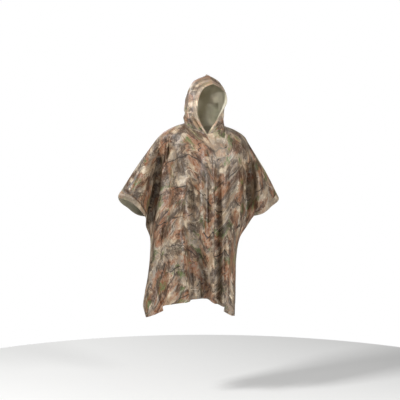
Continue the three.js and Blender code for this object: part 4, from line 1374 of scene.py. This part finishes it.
@dataclass
class Panel:
    """The front or the back of the body with its half sleeves, its hems, patches and eyelet holes.

    Args:
        face: Front or back.
        wardrobe: The finishes.
        tab_rows: Grid rows of the tabs, below the hem's own rows.
        hem_width: The cuff hems' width, in millimetres.
        pieces: The pieces made so far, each with its node and slot.
        rows: The rows of stitches noted so far.
    """

    face: Face
    wardrobe: Wardrobe
    tab_rows: int = 14
    hem_width: float = 30.0
    pieces: list[Piece] = field(default_factory=list)
    rows: list[tuple[Array, Array]] = field(default_factory=list)

    def __post_init__(self) -> None:
        """Sets the grid lines across and down the cloth, and makes its sheet."""
        self.across = lines(
            -HALF_CUT,
            (-HALF_CUT + self.hem_width, 5),
            (-HALF_BODY, 52),
            (-HALF_NECK, 38),
            (0, 27),
            (SLIT_WIDTH, 2),
            (HALF_NECK, 25),
            (HALF_BODY, 38),
            (HALF_CUT - self.hem_width, 52),
            (HALF_CUT, 5),
        )
        upper = ((0.06, 10), (SLIT_END, 22), (FLAP_END, 6), (CUFF_END, 13))
        self.down = lines(0, *upper, (VENT_START, 92), (PATCH_START, 10), (HEM_START, 10), (1, 10))
        self.hem_row = len(self.down) - 1
        self.holes = np.zeros((len(self.across) - 1, len(self.down) + self.tab_rows - 1), dtype=bool)
        self.sheet = self.make_sheet()

    def column(self, place: float) -> int:
        """The grid line nearest to a place across the cloth."""
        return int(np.abs(self.across - place).argmin())

    def row(self, share: float) -> int:
        """The grid line nearest to a share of the drop."""
        return int(np.abs(self.down - share).argmin())

    def base_points(self) -> Array:
        """The panel's points before its creases.

        Returns:
            The grid, with the tabs' rows at its end. They go on straight down from the hem, in a shallow bow.
        """
        share = self.across / HALF_CUT
        points = panel_point(self.face, share[:, None], self.down[None, :])
        above = panel_point(self.face, share, np.full_like(share, HEM_START))
        hem = points[:, -1]
        on_tab = np.clip((np.abs(self.across) - HALF_BODY) / (HALF_CUT - HALF_BODY), 0, 1)
        deep = TAB_DROP + TAB_BOW * np.sin(math.pi * on_tab)
        steps = np.arange(1, self.tab_rows + 1) / self.tab_rows
        tab = hem[:, None] + unit(hem - above)[:, None] * (deep[:, None] * steps)[..., None]
        return np.concatenate([points, tab], axis=1)

    def flatten_corner(self, points: Array, side: Side) -> None:
        """Lays the corner of a tab, where its eyelet sits, on one plane, and eases the cloth around it.

        Args:
            points: The panel's points, which are changed.
            side: The wearer's side.
        """
        edge = 0 if side is Side.RIGHT else len(self.across) - 1
        inner = self.column(side.value * STIFF_INNER)
        first = self.row(HEM_START)
        corner = points[edge, -1].copy()
        along = points[inner, -1] - corner
        facing = unit(np.cross(along, points[edge, first] - corner))
        shares = (np.abs(self.across) - STIFF_INNER) / (HALF_CUT - STIFF_INNER)
        away = np.clip((STIFF_INNER - np.abs(self.across)) / STIFF_FADE, 0, 1)
        same_side = np.sign(self.across) == side.value
        for j in range(self.row(STIFF_START), points.shape[1]):
            down = self.down[j] if j <= self.hem_row else 1.0
            weight = smooth(np.array((down - STIFF_START) / (HEM_START - STIFF_START)))
            ends = []
            for i in (inner, edge):
                ends.append(points[i, j] - facing * ((points[i, j] - corner) @ facing))
            shift = ends[0] - points[inner, j]
            straight = mix(ends[0], ends[1], np.clip(shares, 0, 1)[:, None])
            easing = points[:, j] + shift * (1 - away)[:, None]
            target = np.where((shares >= 0)[:, None], straight, easing)
            fixed = mix(points[:, j], target, weight)
            points[:, j] = np.where(same_side[:, None], fixed, points[:, j])

    def open_eyelet(self, points: Array, side: Side) -> None:
        """Opens the cloth for an eyelet: cells within the hole go, and its edge moves out to a circle.

        Args:
            points: The panel's points, which are changed.
            side: The wearer's side.
        """
        centre, _axis, _spread = eyelet_place(f"{self.face.word}_{side.word}_eyelet")
        middles = (points[:-1, :-1] + points[1:, :-1] + points[1:, 1:] + points[:-1, 1:]) / 4
        self.holes |= np.linalg.norm(middles - centre, axis=-1) < EYELET_CUT
        away = points - centre
        distance = np.linalg.norm(away, axis=-1, keepdims=True)
        points += away * (np.maximum(distance, EYELET_CUT) / np.maximum(distance, 1e-6) - 1)

    def held_back(self, height: Array, points: Array, downs: Array) -> Array:
        """Keeps creases from running into the other panel.

        Args:
            height: The height of the creases.
            points: The panel's points without them.
            downs: The share of the drop of each row.

        Returns:
            The height, where hollows run out at 0.45 of the way to the other panel, as a hyperbolic tangent.
        """
        share = (self.across / HALF_CUT)[:, None]
        other = panel_point(Face(-self.face.value), share, np.minimum(downs, 1.0)[None, :])
        room = np.maximum(0.45 * np.linalg.norm(other - points, axis=-1), 0.01)
        return np.where(height < 0, room * np.tanh(height / room), height)

    def make_sheet(self) -> Sheet:
        """The panel's cloth with all of its creases.

        Returns:
            The sheet. Besides the creases it has a groove along the cuff hems, puckers along the lower hem
            and a small roll below the neckline, and it is quiet at its edges and by the underarms.
        """
        points = self.base_points()
        for side in Side:
            self.flatten_corner(points, side)
            self.open_eyelet(points, side)
        facing = self.face.value
        normals = grid_normals(points, facing)
        seen = points[..., [0, 2]]
        placed = FRONT_CREASES if self.face is Face.FRONT else BACK_CREASES
        small = scattered(11 + facing, 150, (-440, -960), (400, -20))
        height = CREASE_RISE * crease_height(placed, seen) + crease_height(small, seen)
        downs = np.concatenate([self.down, np.linspace(1.0, 1.03, self.tab_rows + 1)[1:]])
        near_edge = (HALF_CUT - np.abs(self.across))[:, None]
        calm = 40 + UNDERARM_CALM * np.exp(-(((downs - 0.3) / 0.1) ** 2))
        quiet = smooth(near_edge / calm[None, :]) * smooth(downs / 0.05)[None, :]
        sleeve = smooth(downs / 0.03) * smooth((CUFF_END + 0.02 - downs) / 0.02)
        groove = -CUFF_GROOVE * np.exp(-(((near_edge - self.hem_width - 6) / 7) ** 2)) * sleeve[None, :]
        pucker = np.sin(self.across / 11.0)[:, None] + np.sin(self.across / 6.7 + 1)[:, None]
        hem_wave = 0.5 * pucker * smooth((downs - 0.94) / 0.03)[None, :] * smooth(near_edge / 60)
        on_neck = smooth((HALF_NECK + 8 - np.abs(self.across)) / 12)[:, None]
        roll = NECK_ROLL * np.exp(-(((downs - 0.016) / 0.009) ** 2))[None, :] * on_neck
        height = height * quiet + hem_wave + groove + roll
        ahead = unit(normals + np.array([0.0, facing, 0.0]))
        points = points + ahead * self.held_back(height, points, downs)[..., None]
        flat = cloth_lengths(points, self.column(0))
        if self.face is Face.BACK:
            flat = flat + BACK_SHIFT
        return Sheet(points, grid_normals(points, facing), flat, facing)

    def build(self) -> None:
        """Makes the panel and everything that lies on it."""
        sheet, word = self.sheet, self.face.word
        body = slice(self.column(-HALF_BODY), self.column(HALF_BODY) + 1)
        keep = ~self.holes
        keep[body.start : body.stop - 1, self.hem_row :] = False
        if self.face is Face.FRONT:
            keep[self.column(0) : self.column(SLIT_WIDTH), : self.row(SLIT_END)] = False
        panel = cloth_shell(f"{word}_panel_cloth", sheet, (0.0, -SHELL), self.wardrobe.cloth, keep)
        self.pieces.append((panel, f"{word}_panel", "coated_cloth"))
        self.stitch(body, slice(self.row(HEM_START), self.row(HEM_START) + 1))
        hem = sheet.part(body, slice(self.row(HEM_START), self.hem_row + 1))
        inside = (-SHELL - TRIM_LIFT, -SHELL - TRIM_LIFT - TRIM_WALL)
        self.add_trim(f"{word}_hem", hem, inside)
        for side in Side:
            self.build_side(side, inside)
        if self.face is Face.FRONT:
            self.build_flap()

    def add_trim(
        self, node: str, sheet: Sheet, lifts: tuple[float, float], keep: Array | None = None
    ) -> None:
        """Makes one strip or patch of folded cloth on the panel."""
        piece = cloth_shell(f"{node}_cloth", sheet, lifts, self.wardrobe.hem, keep)
        self.pieces.append((piece, node, "hem_cloth"))

    def build_side(self, side: Side, inside: tuple[float, float]) -> None:
        """Makes the sleeve hem and the corner patch of one side, with their stitching.

        Args:
            side: The wearer's side.
            inside: Distances of the patch's two sides along the panel's normals.
        """
        word = f"{self.face.word}_{side.word}"
        last = len(self.across) - 1
        strip = self.column(side.value * (HALF_CUT - self.hem_width))
        columns = slice(0, strip + 1) if side is Side.RIGHT else slice(strip, last + 1)
        cuff = self.sheet.part(columns, slice(1, self.row(CUFF_END) + 1))
        rise = PROUD_HEM if (self.face, side) == (Face.FRONT, Side.RIGHT) else FLAT_HEM
        self.add_trim(f"{word}_cuff_hem", rolled(cuff, rise), (TRIM_LIFT + TRIM_WALL, TRIM_LIFT))
        inner = self.column(side.value * HALF_BODY)
        columns = slice(0, inner + 1) if side is Side.RIGHT else slice(inner, last + 1)
        rows = slice(self.row(PATCH_START), None)
        whole = ~self.holes[columns.start : columns.stop - 1, rows]
        self.add_trim(f"{word}_corner_patch", self.sheet.part(columns, rows), inside, whole)
        inset = 1 if side is Side.RIGHT else -1
        lift = TRIM_LIFT + TRIM_WALL
        for column in (strip - inset, 1 if side is Side.RIGHT else last - 1):
            self.stitch(slice(column, column + 1), slice(2, self.row(CUFF_END)), lift=lift)
        self.stitch(slice(strip + inset, strip + inset + 1), slice(self.row(VENT_START), None))
        self.stitch(columns, slice(self.row(PATCH_START), self.row(PATCH_START) + 1))

    def stitch(self, columns: slice, rows: slice, lift: float = 0.0) -> None:
        """Notes a row of stitches along a grid line of the panel.

        Args:
            columns: Its columns.
            rows: Its rows. One of both slices holds a single line.
            lift: How far it lies off the panel, in millimetres.
        """
        area = self.sheet.part(columns, rows)
        points = (area.points + area.normals * lift).reshape(-1, 3)
        self.rows.append((points, area.normals.reshape(-1, 3)))

    def build_flap(self) -> None:
        """Makes the flap over the throat slit, which stands a little off the cloth at its free edge."""
        columns = slice(self.column(-3), self.column(41) + 1)
        area = self.sheet.part(columns, slice(3, self.row(FLAP_END) + 1))
        share = np.linspace(0, 1, area.points.shape[0])[:, None, None]
        lifted = area.points + area.normals * (1.0 + 4.5 * share**0.7)
        flap = Sheet(lifted, grid_normals(lifted, area.facing), area.flat + FLAP_SHIFT, area.facing)
        self.add_trim("throat_flap", flap, (TRIM_LIFT + TRIM_WALL + 0.4, TRIM_LIFT))
        rows, lift = slice(3, self.row(FLAP_END)), TRIM_LIFT + TRIM_WALL + 1.6
        for column in (columns.start + 1, columns.stop - 2):
            self.stitch(slice(column, column + 1), rows, lift=lift)


@dataclass
class HoodHalf:
    """One half of the hood, with the hem of the face opening.

    Args:
        side: The wearer's side.
        wardrobe: The finishes.
        hem_width: The face hem's width, in millimetres.
        hem_steps: Grid steps over the hem.
        steps: Grid steps from the hem to the back seam.
        pieces: The pieces made so far, each with its node and slot.
        rows: The rows of stitches noted so far.
    """

    side: Side
    wardrobe: Wardrobe
    hem_width: float = 22.0
    hem_steps: int = 6
    steps: int = 78
    pieces: list[Piece] = field(default_factory=list)
    rows: list[tuple[Array, Array]] = field(default_factory=list)

    def make_sheet(self) -> Sheet:
        """The half's cloth with its creases.

        Returns:
            The sheet. Its columns keep the hem's width, and its creases fade out at all four edges.
        """
        ups = np.linspace(0, 1, 101)
        start = hood_point(self.side, ups, np.zeros_like(ups))
        near = hood_point(self.side, ups, np.full_like(ups, 0.05))
        hem_share = self.hem_width * 0.05 / np.linalg.norm(near - start, axis=-1)
        hem_share = mix(1 / 16, hem_share, smooth(ups / 0.15))
        first = np.linspace(0, 1, self.hem_steps + 1)[:, None] * hem_share
        rest = mix(hem_share, 1.0, np.linspace(0, 1, self.steps + 1)[1:, None])
        around = np.concatenate([first, rest])
        up = np.broadcast_to(ups, around.shape)
        points = hood_point(self.side, up, around)
        facing = self.side.value
        normals = grid_normals(points, facing)
        seen = np.stack([around, up], -1) * 100
        height = HOOD_CREASE_RISE * crease_height(HOOD_CREASES[self.side], seen)
        wave = np.sin(around * 37 + up * 9) * np.sin(around * 11 - up * 27)
        fades = smooth(around / 0.06) * smooth((1 - around) / 0.05)
        fades = fades * smooth(up / 0.03) * smooth((1 - up) / 0.05)
        points = points + normals * ((height + 0.9 * wave) * fades)[..., None]
        flat = np.stack([around * facing, up], -1) * HOOD_CUT + HOOD_SHIFT
        return Sheet(points, grid_normals(points, facing), flat, facing)

    def build(self) -> None:
        """Makes the half and its hem, and notes their rows of stitches."""
        sheet, word = self.make_sheet(), self.side.word
        shell = cloth_shell(f"hood_{word}_cloth", sheet, (0.0, -SHELL), self.wardrobe.cloth)
        self.pieces.append((shell, f"hood_{word}", "coated_cloth"))
        strip = sheet.part(slice(0, self.hem_steps + 1), slice(2, None))
        lifts = (TRIM_LIFT + TRIM_WALL, TRIM_LIFT)
        hem = cloth_shell(f"hood_{word}_face_hem_cloth", rolled(strip, FACE_HEM), lifts, self.wardrobe.hem)
        self.pieces.append((hem, f"hood_{word}_face_hem", "hem_cloth"))
        by_seam = self.hem_steps + self.steps - 2
        for column, lift in ((1, lifts[0]), (self.hem_steps - 1, lifts[0]), (by_seam, 0.0)):
            line = sheet.part(slice(column, column + 1), slice(3, -2))
            points = (line.points + line.normals * lift).reshape(-1, 3)
            self.rows.append((points, line.normals.reshape(-1, 3)))


def eyelet_place(node: str) -> tuple[Array, Array, float]:
    """Reads where a solid eyelet sits.

    Args:
        node: Its name.

    Returns:
        Its centre in millimetres, its axis, and half of its length.
    """
    corners = np.array([v.co[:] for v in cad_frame()["nodes"][node].data.vertices]) / MM
    centre = (corners.min(0) + corners.max(0)) / 2
    axis = np.linalg.svd(corners - corners.mean(0), full_matrices=False)[2][2]
    return centre, axis, float(np.abs((corners - centre) @ axis).max())


def eyelet(node: str, material: bpy.types.Material) -> bpy.types.Object:
    """Makes a rolled eyelet in place of a solid one.

    Args:
        node: The solid eyelet, which gives the place and the axis.
        material: Its metal.

    Returns:
        A turned ring. Its section is a thin barrel with a flange at each end, rounded as half an ellipse.
    """
    centre, axis, spread = eyelet_place(node)
    side = unit(np.cross(axis, (0.3, 0.2, 1.0)))
    other = np.cross(axis, side)
    bore, flange, wall, roll = 4.7, 8.4, 0.5, 0.9
    half = min(spread, 2.4)
    angles = np.linspace(0, math.pi, 9)
    radii = (bore + flange) / 2 - (flange - bore) / 2 * np.cos(angles)
    heights = half - roll + roll * np.sin(angles)
    upper = np.stack([radii, heights], -1)[1:]
    lower = np.stack([radii, -heights], -1)[::-1][1:-1]
    inner = [(flange - wall, half - 1.3), (bore + wall, half - 1.2), (bore + wall, -half + 1.2)]
    inner += [(flange - wall, -half + 1.3), (flange, roll - half)]
    section = np.concatenate([[(bore, roll - half), (bore, half - roll)], upper, inner, lower])
    turns, rings = 40, len(section)
    angles = np.arange(turns)[:, None, None] * 2 * math.pi / turns
    outward = side * np.cos(angles) + other * np.sin(angles)
    points = (centre + outward * section[None, :, :1] + axis * section[None, :, 1:]).reshape(-1, 3)
    index = np.arange(turns * rings).reshape(turns, rings)
    ahead, above = np.roll(index, -1, 0), np.roll(index, -1, 1)
    quads = np.stack([index, ahead, np.roll(ahead, -1, 1), above], -1).reshape(-1, 4)
    return make_object(f"{node}_ring", points, quads, [material])


_loaded: dict = {}


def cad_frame() -> dict:
    """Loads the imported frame, once.
    """
    if not _loaded:
        _loaded.update(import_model())
    return _loaded


@dataclass
class Studio:
    """A pale round floor, pale surroundings, soft lights and the camera.

    Args:
        floor_z: The floor's height, in metres.
        floor_radius: Its radius, in metres.
    """

    floor_z: float = -1.5
    floor_radius: float = 2.2

    def build(self) -> None:
        """Makes the stage."""
        self.floor()
        self.lights()
        self.surroundings()
        self.camera()

    def floor(self) -> None:
        """Makes the floor, a flat disc of 96 sides, painted matt white."""
        angles = np.linspace(0, 2 * math.pi, 96, endpoint=False)
        rim = np.stack([np.cos(angles), np.sin(angles)], -1) * self.floor_radius
        points = np.column_stack([rim, np.full(len(rim), self.floor_z)]) / MM
        paint = Paint("studio_floor")
        cloud = paint.clouds(paint.add("ShaderNodeTexCoord", output="Object"), 900, detail=2.0)
        colour = paint.add("ShaderNodeMix", {0: cloud, 6: "FAFAF9", 7: "F6F6F5"}, 2, data_type="RGBA")
        material = paint.finish(colour, roughness=0.9)
        floor = make_object("studio_floor", points, np.arange(len(points))[None, :], [material])

    def lights(self) -> None:
        """A soft key from the upper left, a weak fill, one into the hood and one from behind."""
        self.area("key_light", (-3.1, -2.5, 2.0), (0.0, 0.0, -0.4), 0.8, 176)
        self.area("fill_light", (2.9, -3.2, 0.4), (0.0, 0.0, -0.4), 0.8, 132)
        self.area("hood_light", (-0.8, -4.2, 0.7), (0.04, 0.0, 0.12), 0.4, 0.26, 6)
        self.area("rear_light", (-2.2, 3.6, 2.2), (0.0, 0.0, -0.4), 1.8, 90)

    def surroundings(self) -> None:
        """White surroundings, which light the garment evenly with 0.15 of the brightness that they show."""
        world = bpy.data.worlds.new("studio_world")
        world.use_nodes = True
        tree = world.node_tree
        seen = tree.nodes.new("ShaderNodeLightPath").outputs["Is Camera Ray"]
        strength = tree.nodes.new("ShaderNodeMapRange")
        strength.inputs["To Min"].default_value = 0.15
        tree.links.new(seen, strength.inputs["Value"])
        background = tree.nodes["Background"]
        background.inputs["Color"].default_value = (1.0, 1.0, 1.0, 1.0)
        tree.links.new(strength.outputs[0], background.inputs["Strength"])
        bpy.context.scene.world = world
        bpy.context.scene.view_settings.view_transform = "Standard"

    def area(
        self, name: str, place: Triple, aim: Triple, size: float, power: float, spread: float = 180.0
    ) -> None:
        """Makes a square light.

        Args:
            name: Its name.
            place: Where it stands, in metres.
            aim: What it faces.
            size: Its width, in metres.
            power: Its power, in watts.
            spread: The angle that its light is held to, in degrees.
        """
        data = bpy.data.lights.new(name, "AREA")
        data.size, data.energy, data.spread = size, power, math.radians(spread)
        light = bpy.data.objects.new(name, data)
        light.location = place
        light.rotation_euler = (Vector(aim) - Vector(place)).to_track_quat("-Z", "Y").to_euler()
        bpy.context.scene.collection.objects.link(light)

    def camera(self) -> None:
        """The camera looks along +Y from 4.5 m, with a frame 2.2 m wide at the garment."""
        data = bpy.data.cameras.new("camera")
        data.lens = 73.6
        camera = bpy.data.objects.new("camera", data)
        camera.location = (-0.0275, -4.5, -0.396)
        camera.rotation_euler = (math.pi / 2, 0.0, 0.0)
        bpy.context.scene.collection.objects.link(camera)
        bpy.context.scene.camera = camera


def half_surface(thing: bpy.types.Object) -> float:
    """The cloth's area in a closed thin shell.

    Args:
        thing: The shell.

    Returns:
        Half of its surface, in square metres.
    """
    areas = np.zeros(len(thing.data.polygons))
    thing.data.polygons.foreach_get("area", areas)
    return float(areas.sum() / 2)


def declare(panels: list[Panel], halves: list[HoodHalf], rings: list[bpy.types.Object]) -> None:
    """Hangs each piece and eyelet on the root body and hides the solid that it stands for.

    Args:
        panels: The two panels with their pieces.
        halves: The two halves of the hood with their pieces.
        rings: The eyelets.
    """
    made = [piece for part in (*panels, *halves) for piece in part.pieces]
    for thing, node, slot in made:
        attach(thing, "root")
        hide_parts(node)
    for ring in rings:
        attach(ring, "root")
        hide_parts(ring.name.removesuffix("_ring"))
        log.info("%s: %d faces", ring.name, len(ring.data.polygons))
    for thing, node, _slot in made:
        count, surface = len(thing.data.polygons), half_surface(thing)


def main() -> None:
    """Builds the finishes, the garment and the stage."""
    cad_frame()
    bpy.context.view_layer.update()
    wardrobe = Wardrobe(
        cloth=Look(camouflage(ClothFinish(), "camouflage_cloth"), coating(CoatingFinish())),
        # The hem finish has a painted highlight: its print is mixed a quarter of the way to the light colour
        hem=Look(camouflage(ClothFinish(), "hem_cloth", painted_highlight=0.25), coating(CoatingFinish())),
        brass=metal(MetalFinish()),
        thread=thread_look(ThreadFinish()),
    )
    panels = [Panel(face, wardrobe) for face in Face]
    halves = [HoodHalf(side, wardrobe) for side in Side]
    for part in (*panels, *halves):
        part.build()
    rings = [eyelet(f"{f.word}_{s.word}_eyelet", wardrobe.brass) for f in Face for s in Side]
    rows = [row for part in (*panels, *halves) for row in part.rows]
    stitches = dashes("stitching", rows, wardrobe.thread)
    log.info("%s: %d rows, %d faces", stitches.name, len(rows), len(stitches.data.polygons))
    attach(stitches, "root")
    declare(panels, halves, rings)
    Studio().build()


if __name__ == "__main__":
    main()
